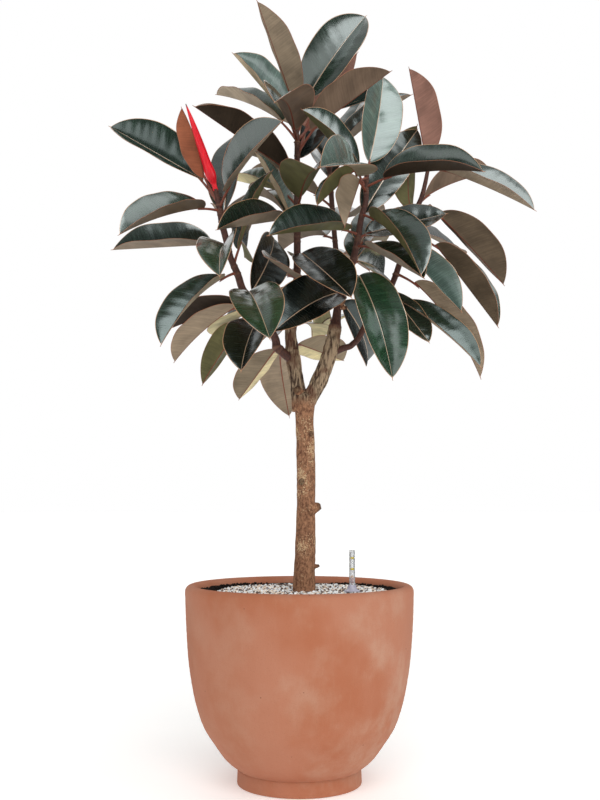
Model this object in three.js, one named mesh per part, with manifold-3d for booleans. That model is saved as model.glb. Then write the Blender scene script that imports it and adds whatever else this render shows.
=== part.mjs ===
// Rubber plant in a terracotta bowl pot, with a water level gauge.
// Millimetres, +Z up, origin on the pot's axis at the floor, +Y away from the viewer.
import * as THREE from 'three';
import { mergeVertices } from 'three/addons/utils/BufferGeometryUtils.js';
import Module from 'manifold-3d';

const wasm = await Module();
wasm.setup();

// Driving dimensions.
const GAP = 0.3;
const POT_HEIGHT = 405;
const RIM_RADIUS = 240;
const WALL = 26;
const FOOT_RADIUS = 129;
const FOOT_HEIGHT = 32;
const POT_FLOOR = 46;
const POT_SIDES = 36;
const SOIL_TOP = 380;
const BANK_HEIGHT = 9;
const BANK_WIDTH = 20;
const GRAVEL_RADIUS = 183;
const GRAVEL_DEPTH = 11;
const TRUNK_FOOT = 300;
const BLADE_THICKNESS = 1.3;
const BLADE_STATIONS = [0, 0.07, 0.28, 0.55, 0.8, 0.93, 1];
const PETIOLE_RADIUS = 3;
const GAUGE = { x: 110, y: -20, foot: 80, top: 477, radius: 6, bore: 4.8, sides: 16 };
const FLOAT = { radius: 4.4, rod: 1.5, bodyTop: 160, headFoot: 409, headTop: 426 };
const COLLAR = { radius: 17, height: 14, neck: 8 };

const V = (x, y, z) => new THREE.Vector3(x, y, z);
const along = (point, direction, distance) => point.clone().addScaledVector(direction, distance);

// Joints between woody pieces: the flat cut face where one ends and the next begins.
const JOINTS = {
  leader: { at: V(-15, 4, 900), axis: V(-0.1, 0.05, 1).normalize(), radius: 14 },
  right: { at: V(75, 2, 940), axis: V(0.15, 0.1, 1).normalize(), radius: 14 },
  outer: { at: V(116, -5, 915), axis: V(0.75, 0, 0.66).normalize(), radius: 6.5 },
  left: { at: V(-42, -7, 901), axis: V(-0.72, -0.25, 0.65).normalize(), radius: 9.5 },
  back: { at: V(87, 38, 1034), axis: V(0.1, 0.5, 0.86).normalize(), radius: 6.5 },
  sheath: { at: V(-178, -56, 1236), axis: V(-0.25, -0.1, 0.97).normalize(), radius: 5.5 },
};

// Leafy stems: the points that each passes through, as [x, y, z, radius], from its joint up.
const STEMS = {
  leader: [
    [-19, 6, 930, 13], [-14, 9, 970, 11], [-6, 14, 1010, 9], [-5, 20, 1080, 8],
    [-5, 20, 1235, 7], [-5, 17, 1345, 6], [-5, 15, 1398, 4],
  ],
  right: [
    [79, 5, 965, 10.5], [82, 8, 990, 8.5], [95, 11, 1040, 8], [115, 15, 1095, 7.5], [125, 15, 1135, 7],
    [135, 15, 1195, 6.5], [145, 15, 1230, 6], [145, 10, 1265, 5.5], [150, 10, 1302, 4],
  ],
  outer: [
    [135, -4, 942, 6.5], [160, 0, 985, 6.5], [200, 10, 1045, 6.5], [215, 18, 1085, 6.5],
    [235, 20, 1145, 6], [250, 30, 1205, 5.5], [265, 32, 1235, 5.5], [285, 40, 1312, 4],
  ],
  left: [
    [-50, -10, 918, 9], [-60, -17, 940, 8.5], [-90, -30, 990, 8], [-120, -40, 1025, 8],
    [-130, -45, 1055, 7.5],
    [-145, -50, 1090, 7], [-155, -55, 1130, 7], [-165, -55, 1170, 6.5], [-170, -55, 1200, 6],
  ],
  back: [
    [85, 75, 1095, 6.5], [82, 115, 1150, 6], [75, 145, 1255, 6], [70, 155, 1340, 5.5], [68, 158, 1392, 4],
  ],
};

// Leaves of each stem, from its top down, as placed on the plant: height at which the leaf springs, stalk
// length, turn, lift, blade length, width, bow of the midrib, roll about it, and fold of the two halves.
// Millimetres and degrees.
const LEAVES = {
  leader: [
    [1395, 55, 245, 42, 235, 100, 0, -30, 30], [1380, 85, 0, 55, 230, 120, 15, 80, 35],
    [1365, 90, 30, 25, 225, 95, 5, 65, 55], [1365, 65, 145, 28, 220, 95, 10, -15, 40],
    [1365, 35, 260, -5, 225, 120, 30, -10, 40], [1360, 50, 155, 51, 240, 105, 0, -35, 50],
    [1335, 60, 345, 33, 215, 115, 0, 8, 60], [1320, 85, 35, 54, 255, 100, 20, -90, 30],
    [1285, 50, 85, 44, 240, 100, 20, 40, 50], [1265, 45, 215, 22, 250, 110, 0, -25, 60],
    [1260, 55, 135, 24, 230, 100, 15, -10, 40], [1220, 60, 130, 20, 215, 95, 0, -20, 45],
    [1210, 40, 280, 2, 190, 120, 15, 10, 40], [1170, 60, 235, -17, 230, 100, 0, -35, 60],
    [1155, 35, 130, 32, 185, 100, 20, 0, 35], [1145, 50, 175, 62, 175, 95, 0, -15, 25],
    [1115, 20, 300, -33, 240, 110, 5, 25, 25], [1080, 55, 80, 4, 225, 100, 15, -5, 35],
    [1060, 50, 110, -5, 220, 100, 15, 0, 35], [1055, 10, 250, 3, 185, 80, 0, -35, 15],
    [950, 40, 80, -1, 225, 100, 20, 45, 40], [910, 25, 55, -6, 185, 100, 0, -20, 15],
  ],
  right: [
    [1295, 60, 240, -35, 210, 60, 0, 25, 70], [1280, 80, 255, -43, 205, 95, 0, 90, 30],
    [1275, 45, 55, 74, 225, 105, 10, 60, 25], [1260, 45, 335, -4, 225, 110, 10, 50, 60],
    [1255, 45, 220, 32, 190, 105, 0, -60, 40], [1250, 70, 250, -12, 255, 115, 20, -45, 40],
    [1200, 30, 305, -44, 230, 120, 15, 5, 50], [1155, 30, 220, -12, 230, 110, 5, -40, 50],
    [1150, 60, 30, 55, 260, 90, 15, 60, 15], [1145, 20, 355, 13, 185, 100, 0, 50, 15],
    [1130, 30, 315, -31, 185, 105, 0, 10, 35], [1105, 50, 60, 25, 220, 100, 20, 0, 35],
    [1085, 55, 70, 1, 215, 100, 10, 75, 30], [1075, 35, 310, -67, 255, 120, 30, 30, 40],
    [1070, 50, 65, 22, 220, 100, 20, 0, 35], [1025, 15, 225, -29, 220, 120, 20, -45, 30],
    [1010, 15, 70, -30, 220, 105, 20, 110, 25], [1010, 50, 130, -8, 220, 100, 15, 0, 40],
    [955, 45, 100, 0, 225, 100, 20, 30, 45],
  ],
  outer: [
    [1310, 25, 345, -28, 235, 100, 5, 30, 40], [1310, 20, 140, 79, 230, 100, 0, 70, 45],
    [1225, 30, 35, 23, 230, 100, 10, -25, 35], [1225, 50, 20, -42, 225, 110, 5, -15, 40],
    [1165, 40, 75, 12, 220, 100, 5, -15, 40], [1160, 65, 345, -55, 230, 110, 0, 5, 55],
    [1160, 40, 55, -3, 225, 100, 0, 40, 20], [1160, 55, 70, 71, 235, 110, 15, -110, 20],
    [1120, 10, 325, -48, 195, 110, 0, 45, 60], [1070, 45, 75, 12, 225, 100, 20, 0, 35],
    [1070, 45, 355, -57, 255, 100, 15, -15, 35], [1030, 10, 315, -49, 160, 70, 0, 25, 15],
    [1015, 40, 340, -41, 230, 95, 10, 25, 30],
  ],
  left: [
    [1205, 65, 175, 72, 165, 70, -8, 155, 65, 61], [1205, 65, 165, 32, 260, 120, 0, -55, 45],
    [1195, 45, 305, 23, 230, 110, 5, 80, 40], [1190, 40, 220, -24, 225, 105, 10, -25, 45],
    [1185, 45, 80, -2, 215, 105, 20, -10, 35], [1170, 40, 80, -13, 185, 100, 10, 80, 25],
    [1155, 40, 75, 64, 225, 95, 10, -20, 20], [1110, 40, 270, -29, 220, 100, 20, 15, 40],
    [1105, 40, 170, -1, 225, 110, 0, -40, 45], [1075, 35, 350, 66, 185, 100, 5, 30, 25],
    [1060, 35, 220, -46, 225, 100, 15, -10, 35], [1020, 45, 285, -34, 230, 115, 15, 15, 30],
    [1005, 20, 75, 43, 225, 100, 15, 60, 20], [1000, 45, 140, -29, 225, 100, 10, -10, 30],
    [995, 45, 145, -12, 195, 100, 0, 0, 35], [980, 55, 115, -9, 215, 100, 0, -40, 35],
    [970, 80, 130, -38, 185, 100, 15, 25, 60], [965, 55, 260, -38, 205, 100, 15, 5, 30],
    [910, 75, 85, -31, 250, 110, 35, -15, 25], [904, 12, 122, -31, 190, 85, 0, -5, 25],
    [910, 40, 100, 5, 225, 100, 20, 0, 35],
  ],
  back: [
    [1355, 30, 50, 53, 230, 60, 0, 0, 15], [1350, 50, 355, 36, 210, 100, 5, 35, 40],
    [1330, 45, 130, 40, 220, 100, 15, 0, 35], [1290, 45, 100, 35, 220, 100, 15, 0, 35],
    [1250, 45, 150, 19, 225, 100, 15, 25, 35], [1200, 45, 60, 10, 220, 100, 15, 0, 35],
    [1170, 40, 120, 1, 220, 105, 15, 0, 40], [1120, 50, 70, 0, 220, 95, 15, -5, 30],
  ],
};

// Woody pieces of the trunk: [x, y, z, radius] from low to high. Limbs end on their joint's face.
const TRUNK = [
  [10, 0, TRUNK_FOOT, 22], [10, 0, 365, 25], [10, 0, 400, 23.5], [13, 0, 503, 21], [14, 0, 566, 19.5],
  [13, 0, 690, 19.5], [11, 0, 755, 19], [12, 0, 785, 21], [14, 0, 808, 17],
];
const LIMBS = {
  leader: [[7, 0, 775, 17], [-2, 0, 832, 14.5], [-12, 2, 880, 14.5]],
  right: [[18, 0, 770, 18], [41, 0, 832, 17], [63, 0, 888, 16], [72, 1, 920, 16]],
  outer: [[66, 0, 892, 8], [95, -3, 905, 7]],
  left: [[-14, 0, 878, 10]],
};
// Knobs, scars and stubs: from, to, radius.
const TRUNK_STUBS = [
  [V(20, -6, 560), V(42, -8, 567), 8],
  [V(22, -4, 437), V(42, -6, 443), 5],
  [V(8, -12, 619), V(2, -22, 620), 7],
  [V(18, -8, 720), V(27, -18, 721), 6],
  [V(0, -4, 810), V(-6, -18, 814), 8],
];
const BROKEN_STUBS = [
  [V(82, 8, 992), V(103, 4, 994), 3.5],
  [V(82, 8, 992), V(98, 2, 1008), 3],
];
const SHEATH = [
  [-186, -62, 1262, 11], [-196, -68, 1290, 9.5], [-212, -76, 1335, 7.5], [-229, -82, 1385, 4],
  [-241, -86, 1418, 1],
];

// A closed geometry from corner points and triangles of their numbers.
function closedGeometry(points, triangles) {
  const geometry = new THREE.BufferGeometry().setFromPoints(points);
  geometry.setIndex(triangles.flat());
  return geometry;
}

// Round section through p, square to the direction d.
function ring([x, y, z, radius], d, sides) {
  const reference = Math.abs(d.y) < 0.9 ? V(0, 1, 0) : V(1, 0, 0);
  const u = reference.cross(d).normalize();
  const v = d.clone().cross(u);
  return Array.from({ length: sides }, (_, k) => {
    const angle = (2 * Math.PI * k) / sides;
    return along(along(V(x, y, z), u, radius * Math.cos(angle)), v, radius * Math.sin(angle));
  });
}

// Solid limb through sections [x, y, z, radius], with flat ends square to its first and last stretch.
function limb(sections, sides) {
  const centres = sections.map(([x, y, z]) => V(x, y, z));
  const last = sections.length - 1;
  const points = sections.flatMap((section, i) => {
    const from = centres[Math.max(i - 1, 0)];
    const to = centres[Math.min(i + 1, last)];
    return ring(section, to.clone().sub(from).normalize(), sides);
  });
  const triangles = [];
  for (let i = 0; i < last; i += 1) {
    for (let k = 0; k < sides; k += 1) {
      const a = i * sides + k;
      const b = i * sides + ((k + 1) % sides);
      triangles.push([a, b, b + sides], [a, b + sides, a + sides]);
    }
  }
  for (let k = 1; k < sides - 1; k += 1) {
    const end = last * sides;
    triangles.push([0, k + 1, k], [end, end + k, end + k + 1]);
  }
  return closedGeometry(points, triangles);
}

const stub = (from, to, radius, sides) => limb([[...from, radius], [...to, radius]], sides);

// Sections on one side of a joint, square to its axis: side -1 ends there, side +1 starts there.
function jointSections({ at, axis, radius }, side) {
  const face = along(at, axis, side > 0 ? GAP : 0);
  const inner = along(at, axis, 9 * side);
  const pair = [[...face, radius], [...inner, radius]];
  return side > 0 ? pair : pair.reverse();
}

// Slab between two grids of points that hold rows of equal length, seen from the top side.
function slab(top, bottom) {
  const rows = top.length;
  const columns = top[0].length;
  const under = rows * columns;
  const number = (i, j) => i * columns + j;
  const triangles = [];
  for (let i = 0; i < rows - 1; i += 1) {
    for (let j = 0; j < columns - 1; j += 1) {
      const [a, b, c, d] = [number(i, j), number(i, j + 1), number(i + 1, j + 1), number(i + 1, j)];
      triangles.push([a, b, d], [b, c, d]);
      triangles.push([a + under, d + under, b + under], [b + under, d + under, c + under]);
    }
  }
  const border = [
    ...top[0].map((_, j) => number(0, j)),
    ...top.slice(1).map((_, i) => number(i + 1, columns - 1)),
    ...top[0].slice(1).map((_, j) => number(rows - 1, columns - 2 - j)),
    ...top.slice(2).map((_, i) => number(rows - 2 - i, 0)),
  ];
  border.forEach((a, k) => {
    const b = border[(k + 1) % border.length];
    triangles.push([a, a + under, b + under], [a, b + under, b]);
  });
  return closedGeometry([...top.flat(), ...bottom.flat()], triangles);
}

// Unit vector: turn 0 points to +X and 90 away from the viewer, lift is above the level.
function direction(turn, lift) {
  const t = THREE.MathUtils.degToRad(turn);
  const l = THREE.MathUtils.degToRad(lift);
  return V(Math.cos(t) * Math.cos(l), Math.sin(t) * Math.cos(l), Math.sin(l));
}

// Half width of a leaf along its midrib, 1 at the middle: an oval that ends in a short narrow tip.
function outline(s) {
  const oval = Math.max(1 - Math.abs(2 * s - 1) ** 2.3, 0) ** 0.6;
  return Math.max(oval * (1 - 0.5 * THREE.MathUtils.smoothstep(s, 0.84, 1)), 0.03);
}

// Blade with its two halves raised from the midrib by the fold, and the midrib arched by the bow.
function blade(base, axis, normal, { length, width, bow, fold }) {
  const right = axis.clone().cross(normal);
  const angle = THREE.MathUtils.degToRad(fold);
  const side = Math.cos(angle) + 0.06 * Math.sin(angle);
  const half = BLADE_THICKNESS / 2;
  const top = [];
  const bottom = [];
  for (const s of BLADE_STATIONS) {
    const rib = along(along(base, axis, length * s), normal, 4 * bow * s * (1 - s));
    const tangent = axis.clone().multiplyScalar(length);
    tangent.addScaledVector(normal, 4 * bow * (1 - 2 * s)).normalize();
    const up = right.clone().cross(tangent);
    const reach = (width / 2) * outline(s);
    const across = [-1, 0, 1].map((t) => {
      const point = along(along(rib, right, t * side * reach), up, Math.abs(t) * Math.sin(angle) * reach);
      const offset = t === 0
        ? up.clone().multiplyScalar(half / Math.cos(angle))
        : up.clone().multiplyScalar(half * Math.cos(angle)).addScaledVector(right, -t * half * Math.sin(angle));
      return [along(point, offset, 1), along(point, offset, -1)];
    });
    top.push(across.map(([upper]) => upper));
    bottom.push(across.map(([, lower]) => lower));
  }
  return slab(top, bottom);
}

// Point of a stem at height z.
function stemPoint(sections, z) {
  const i = Math.max(sections.findIndex((section) => section[2] >= z), 1);
  const [from, to] = [sections[i - 1], sections[i]];
  return V(...from).lerp(V(...to), (z - from[2]) / (to[2] - from[2]));
}

// Leaf with its stalk, from a row of the leaf list.
function leaf(sections, [up, petiole, turn, lift, length, width, bow, roll, fold, rise]) {
  const root = stemPoint(sections, up);
  const stalk = direction(turn, rise ?? THREE.MathUtils.clamp(lift + 25, -25, 75));
  const base = along(root, stalk, petiole);
  const axis = direction(turn, lift);
  const normal = direction(turn, lift + 90).applyAxisAngle(axis, THREE.MathUtils.degToRad(roll));
  return [
    limb([[...root, PETIOLE_RADIUS], [...along(base, axis, 5), PETIOLE_RADIUS]], 3),
    blade(base, axis, normal, { length, width, bow, fold }),
  ];
}

// Solid for joining and cutting.
function solid(geometry) {
  const plain = geometry.clone();
  plain.deleteAttribute('normal');
  plain.deleteAttribute('uv');
  const merged = mergeVertices(plain, 1e-4);
  const mesh = new wasm.Mesh({
    numProp: 3,
    vertProperties: new Float32Array(merged.attributes.position.array),
    triVerts: new Uint32Array(merged.index.array),
  });
  return new wasm.Manifold(mesh);
}

const fuse = (geometries) => geometries.map(solid).reduce((whole, next) => whole.add(next));

function geometryOf(body) {
  const mesh = body.getMesh();
  const geometry = new THREE.BufferGeometry();
  geometry.setAttribute('position', new THREE.BufferAttribute(mesh.vertProperties, 3));
  geometry.setIndex(new THREE.BufferAttribute(mesh.triVerts, 1));
  return geometry;
}

const plant = new THREE.Group();

function addPiece(name, geometry, color, roughness) {
  const material = new THREE.MeshStandardMaterial({ color, roughness, metalness: 0 });
  const mesh = new THREE.Mesh(geometry, material);
  mesh.name = name;
  plant.add(mesh);
}

// Turned body about the vertical axis through (x, y), from a profile of [radius, height] pairs.
function turned(profile, sides, x = 0, y = 0) {
  const points = profile.map(([radius, height]) => new THREE.Vector2(radius, height));
  return new THREE.LatheGeometry(points, sides).rotateX(Math.PI / 2).translate(x, y, 0);
}

// Pot: short foot, round belly, nearly upright wall and a rounded lip.
const BELLY = [
  [FOOT_RADIUS, FOOT_HEIGHT], [151, 49], [178, 84], [199, 117], [212, 152], [227, 219], [237, 321],
];
const LIP_HEIGHT = POT_HEIGHT - WALL / 2;

function innerWall(clearance) {
  const wall = BELLY.slice(1).reverse().map(([radius, height]) => [radius - WALL - clearance, height + 6]);
  const rim = [RIM_RADIUS - WALL - clearance, SOIL_TOP];
  return [rim, ...wall, [96 - clearance, POT_FLOOR + clearance], [0, POT_FLOOR + clearance]];
}

function pot() {
  const lip = Array.from({ length: 7 }, (_, k) => {
    const angle = (Math.PI * k) / 6;
    const centre = RIM_RADIUS - WALL / 2;
    return [centre + (WALL / 2) * Math.cos(angle), LIP_HEIGHT + (WALL / 2) * Math.sin(angle)];
  });
  return turned([[0, 0], [FOOT_RADIUS, 0], ...BELLY, ...lip, ...innerWall(0)], POT_SIDES);
}

// Soil: fills the pot up to its flat top and lies banked against the wall, with plain holes where the trunk
// and the gauge stand.
function soil() {
  const wall = RIM_RADIUS - WALL - GAP;
  const crest = SOIL_TOP + BANK_HEIGHT;
  const bank = [[wall, crest], [wall - 8, crest], [wall - BANK_WIDTH, SOIL_TOP]];
  const body = turned([...innerWall(GAP).reverse(), ...bank, [0, SOIL_TOP]], POT_SIDES);
  return geometryOf(solid(body).subtract(trunkHole()).subtract(gaugeHole()));
}

// Gravel: a low round bed lying on the soil.
function gravel() {
  const foot = SOIL_TOP + GAP;
  const top = foot + GRAVEL_DEPTH;
  const profile = [
    [0, foot], [GRAVEL_RADIUS - 5, foot], [GRAVEL_RADIUS, foot + 3], [GRAVEL_RADIUS - 3, top - 3],
    [GRAVEL_RADIUS - 25, top], [0, top],
  ];
  return geometryOf(solid(turned(profile, 36, 7, 0)).subtract(trunkHole()).subtract(gaugeHole()));
}

function trunkHole() {
  const widened = TRUNK.slice(0, 4).map(([x, y, z, radius]) => [x, y, z, radius + GAP]);
  widened[0][2] -= GAP;
  return solid(limb(widened, 12));
}

function gaugeHole() {
  const { x, y, foot, radius, sides } = GAUGE;
  const hole = [[0, foot - GAP], [radius + GAP, foot - GAP], [radius + GAP, POT_HEIGHT], [0, POT_HEIGHT]];
  return solid(turned(hole, sides, x, y));
}

// Trunk with its limbs, the side branch, and the knobs and scars of old leaves and cuts.
function trunk() {
  const limbs = Object.entries(LIMBS).map(([name, sections]) => (
    limb([...sections, ...jointSections(JOINTS[name], -1)], 8)
  ));
  const stubs = TRUNK_STUBS.map(([from, to, radius]) => stub(from, to, radius, 6));
  return geometryOf(fuse([limb(TRUNK, 12), ...limbs, ...stubs]));
}

// Leafy stem: the stem from its joint up, with its leaves, its cut top if it has one, and its own stumps.
function leafyStem(name, { top = [], extras = [] } = {}) {
  const sections = [...jointSections(JOINTS[name], 1), ...STEMS[name], ...top];
  const leaves = LEAVES[name].flatMap((row) => leaf(sections, row));
  return geometryOf(fuse([limb(sections, 6), ...extras, ...leaves]));
}

// Water level gauge: a clear tube open at its foot, a collar on the gravel and a float in the bore.
function gaugeTube() {
  const { x, y, foot, top, radius, bore, sides } = GAUGE;
  const lip = bore - 2;
  const profile = [
    [lip, foot], [radius, foot], [radius, top], [0, top], [0, top - 3], [bore, top - 3], [bore, foot + 4],
    [lip, foot + 4], [lip, foot],
  ];
  return turned(profile, sides, x, y);
}

function gaugeCollar() {
  const { x, y, radius, sides } = GAUGE;
  const foot = SOIL_TOP + GRAVEL_DEPTH + 2 * GAP;
  const bore = radius + GAP;
  const profile = [
    [bore, foot], [COLLAR.radius, foot], [COLLAR.radius, foot + 2], [COLLAR.neck + 2, foot + 6],
    [COLLAR.neck, foot + COLLAR.height], [bore, foot + COLLAR.height], [bore, foot],
  ];
  return turned(profile, sides, x, y);
}

function gaugeFloat() {
  const { x, y, foot } = GAUGE;
  const { radius, rod, bodyTop, headFoot, headTop } = FLOAT;
  const profile = [
    [0, foot + 4 + GAP], [radius, foot + 4 + GAP], [radius, bodyTop], [rod, bodyTop + 4], [rod, headFoot],
    [radius, headFoot], [radius, headTop], [0, headTop],
  ];
  return turned(profile, 12, x, y);
}

const BARK = '#6b4a38';
const FOLIAGE = '#25352a';

addPiece('pot', pot(), '#bd7e60', 0.85);
addPiece('soil', soil(), '#17120f', 1);
addPiece('gravel', gravel(), '#cfc8c4', 0.95);
addPiece('trunk', trunk(), BARK, 0.9);
addPiece('leader_stem', leafyStem('leader'), FOLIAGE, 0.35);
addPiece('right_stem', leafyStem('right', {
  extras: [
    limb([[81, 7, 985, 8], ...jointSections(JOINTS.back, -1)], 6),
    ...BROKEN_STUBS.map(([from, to, radius]) => stub(from, to, radius, 6)),
  ],
}), FOLIAGE, 0.35);
addPiece('outer_right_stem', leafyStem('outer'), FOLIAGE, 0.35);
addPiece('left_stem', leafyStem('left', { top: jointSections(JOINTS.sheath, -1) }), FOLIAGE, 0.35);
addPiece('back_stem', leafyStem('back'), FOLIAGE, 0.35);
addPiece('growth_sheath', limb([...jointSections(JOINTS.sheath, 1), ...SHEATH], 8), '#d01a28', 0.4);
addPiece('gauge_tube', gaugeTube(), '#d8dbdc', 0.15);
addPiece('gauge_collar', gaugeCollar(), '#cbc9d4', 0.2);
addPiece('gauge_float', gaugeFloat(), '#9c1d20', 0.4);

export default plant;
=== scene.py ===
import math
from functools import partial

import bpy
import numpy as np
from bpy.props import FloatProperty, FloatVectorProperty, IntProperty, PointerProperty
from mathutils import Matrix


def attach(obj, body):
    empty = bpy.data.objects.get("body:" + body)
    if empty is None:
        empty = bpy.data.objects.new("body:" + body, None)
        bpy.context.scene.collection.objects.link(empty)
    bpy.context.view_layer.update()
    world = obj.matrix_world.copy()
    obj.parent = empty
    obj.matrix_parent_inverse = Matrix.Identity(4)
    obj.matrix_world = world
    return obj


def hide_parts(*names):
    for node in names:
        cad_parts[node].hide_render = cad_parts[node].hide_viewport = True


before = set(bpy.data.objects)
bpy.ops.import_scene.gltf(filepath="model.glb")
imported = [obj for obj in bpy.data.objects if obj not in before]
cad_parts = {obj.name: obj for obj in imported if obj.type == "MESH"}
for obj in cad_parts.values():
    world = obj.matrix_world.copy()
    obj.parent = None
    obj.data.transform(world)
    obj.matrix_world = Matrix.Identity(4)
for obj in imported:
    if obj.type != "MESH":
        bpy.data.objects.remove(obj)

bl_info = {
    "name": "Potted rubber plant",
    "version": (1, 0, 0),
    "blender": (4, 5, 0),
    "location": "3D View > Sidebar > Plant",
    "description": "Builds a rubber plant in a terracotta bowl pot, with its water level gauge and a studio",
    "category": "Add Mesh",
}

# The tables are in millimetres and degrees, +Z up, origin on the pot's axis at the floor, -Y to the viewer.
POT_HEIGHT = 405
RIM_RADIUS = 240
LIP = 13
WALL = 26
FLOOR_THICKNESS = 46
FOOT_RADIUS = 129
# Radius and height up the outside of the bowl, from the foot to the lip.
BELLY = [(129, 32), (151, 49), (178, 84), (199, 117), (212, 152), (227, 219), (237, 321), (240, 392)]
SOIL_TOP = 380
# Gap between pieces that lie on each other.
SEAT = 0.3
GRAVEL = {"x": 7, "y": 0, "radius": 183, "foot": SOIL_TOP + SEAT, "top": 389}
# How far the middles of the chips stay from the axes of the trunk and the gauge.
CHIPS_OFF_TRUNK = 26
CHIPS_OFF_GAUGE = 18.5
# Soil nearer to the axis than this lies hidden under the gravel, and has no crumbs.
CRUMBS_FROM = 166
GAUGE = {"x": 110, "y": -20, "foot": 80, "top": 477, "radius": 6, "bore": 4.8}
MARK_LEVELS = (461, 438)
COLLAR_FOOT = 391.6
# Radius and height above its foot, round the section of the collar.
COLLAR = [
    (6.3, 0), (17, 0), (17, 1.4), (16.4, 2), (13.6, 3), (11.4, 4.6), (9.8, 7), (8.7, 10), (8, 13.4),
    (7.4, 14), (6.3, 14),
]
# Radius and height up the float: a body low in the tube, a thin rod, and a round head. The last bands of the
# head are the painted tip.
FLOAT = [
    (0.4, 84.3), (4.4, 84.3), (4.4, 160), (1.5, 164), (1.5, 409), (4.4, 409.6), (4.4, 418), (4.2, 420.4),
    (3.4, 423.4), (1.8, 425.6), (0.4, 426),
]
TIP_BANDS = 3
CAMERA_PLACE = (1.2, -2300, 598)
CAMERA_TILT = 94.86
FLOOR_REACH = 30000

# Direction of each soft light, its share of the key light, its angle, and whether it casts shadows. The side
# lights cast none, so that they reach in between the leaves as large near panels do.
LIGHTS = {
    "left_panel": ((-0.89, -0.44, 0.14), 0.34, 38, False),
    "top_panel": ((0.52, -0.3, 0.78), 0.22, 30, True),
    "front_panel": ((0.05, -0.75, 0.66), 0.95, 44, True),
    "right_panel": ((0.82, -0.55, 0.08), 0.55, 32, False),
    "back_panel": ((-0.1, 0.65, 0.7), 0.25, 60, True),
}

# Joints between woody pieces: place, direction, radius.
JOINTS = {
    "leader": ((-15, 4, 900), (-0.1, 0.05, 1), 14),
    "right": ((75, 2, 940), (0.15, 0.1, 1), 14),
    "outer": ((116, -5, 915), (0.75, 0, 0.66), 6.5),
    "left": ((-42, -7, 901), (-0.72, -0.25, 0.65), 9.5),
    "back": ((87, 38, 1034), (0.1, 0.5, 0.86), 6.5),
    "sheath": ((-178, -56, 1236), (-0.25, -0.1, 0.97), 5.5),
}

# Woody pieces: [x, y, z, radius] from low to high.
TRUNK = [
    (10, 0, 300, 22), (10, 0, 365, 25), (10, 0, 400, 23.5), (13, 0, 503, 21), (14, 0, 566, 19.5),
    (13, 0, 690, 19.5), (11, 0, 755, 19), (12, 0, 785, 21), (14, 0, 806, 17), (14, 0, 812, 9),
]
LIMBS = {
    "leader": [(2, 0, 770, 17), (-5, 0, 832, 15.5), (-13, 2, 880, 14.5)],
    "right": [(6, 0, 765, 15), (24, 0, 802, 17), (41, 0, 832, 17), (63, 0, 888, 16), (72, 1, 920, 16)],
    "outer": [(66, 0, 892, 8), (95, -3, 905, 7)],
    "left": [(-14, 0, 878, 10)],
}
# Knobs, scars and stubs: from, to, radius, how many times wider the foot is.
KNOBS = [
    ((20, -6, 563), (45, -8, 568), 6, 3), ((24, -4, 441), (42, -6, 444), 2.5, 3),
    ((8, -12, 618), (4, -21, 620), 7, 1.3), ((18, -8, 720), (26, -18, 721), 5, 2),
    ((2, -4, 808), (-6, -19, 814), 8, 1.3),
]
BROKEN_STUBS = [((82, 8, 992), (103, 4, 994), 3, 2), ((82, 8, 992), (98, 2, 1008), 2.5, 2)]
# Heights between which the trunk's bark turns corky, and up to which that of two of the stems stays so.
CORKY_FROM = (778, 806)
CORKY_TO = {"leader": 948, "right": 948}
STEMS = {
    "leader": [
        (-19, 6, 930, 13), (-14, 9, 970, 11), (-6, 14, 1010, 9), (-5, 20, 1080, 8), (-5, 20, 1235, 7),
        (-5, 17, 1345, 6), (-5, 15, 1398, 4),
    ],
    "right": [
        (79, 5, 965, 10.5), (82, 8, 990, 8.5), (95, 11, 1040, 8), (115, 15, 1095, 7.5), (125, 15, 1135, 7),
        (135, 15, 1195, 6.5), (145, 15, 1230, 6), (145, 10, 1265, 5.5), (150, 10, 1302, 4),
    ],
    "outer": [
        (135, -4, 942, 6.5), (160, 0, 985, 6.5), (200, 10, 1045, 6.5), (215, 18, 1085, 6.5),
        (235, 20, 1145, 6), (250, 30, 1205, 5.5), (265, 32, 1235, 5.5), (285, 40, 1312, 4),
    ],
    "left": [
        (-50, -10, 918, 9), (-60, -17, 940, 8.5), (-90, -30, 990, 8), (-120, -40, 1025, 8),
        (-130, -45, 1055, 7.5), (-145, -50, 1090, 7), (-155, -55, 1130, 7), (-165, -55, 1170, 6.5),
        (-170, -55, 1200, 6),
    ],
    "back": [
        (85, 75, 1095, 6.5), (82, 115, 1150, 6), (75, 145, 1255, 6), (70, 155, 1340, 5.5), (68, 158, 1392, 4),
    ],
}
SHEATH = [
    (-186, -62, 1262, 11), (-196, -68, 1290, 9.5), (-212, -76, 1335, 8), (-228, -82, 1381, 4.3),
    (-239, -86, 1411, 0.9),
]

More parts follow.
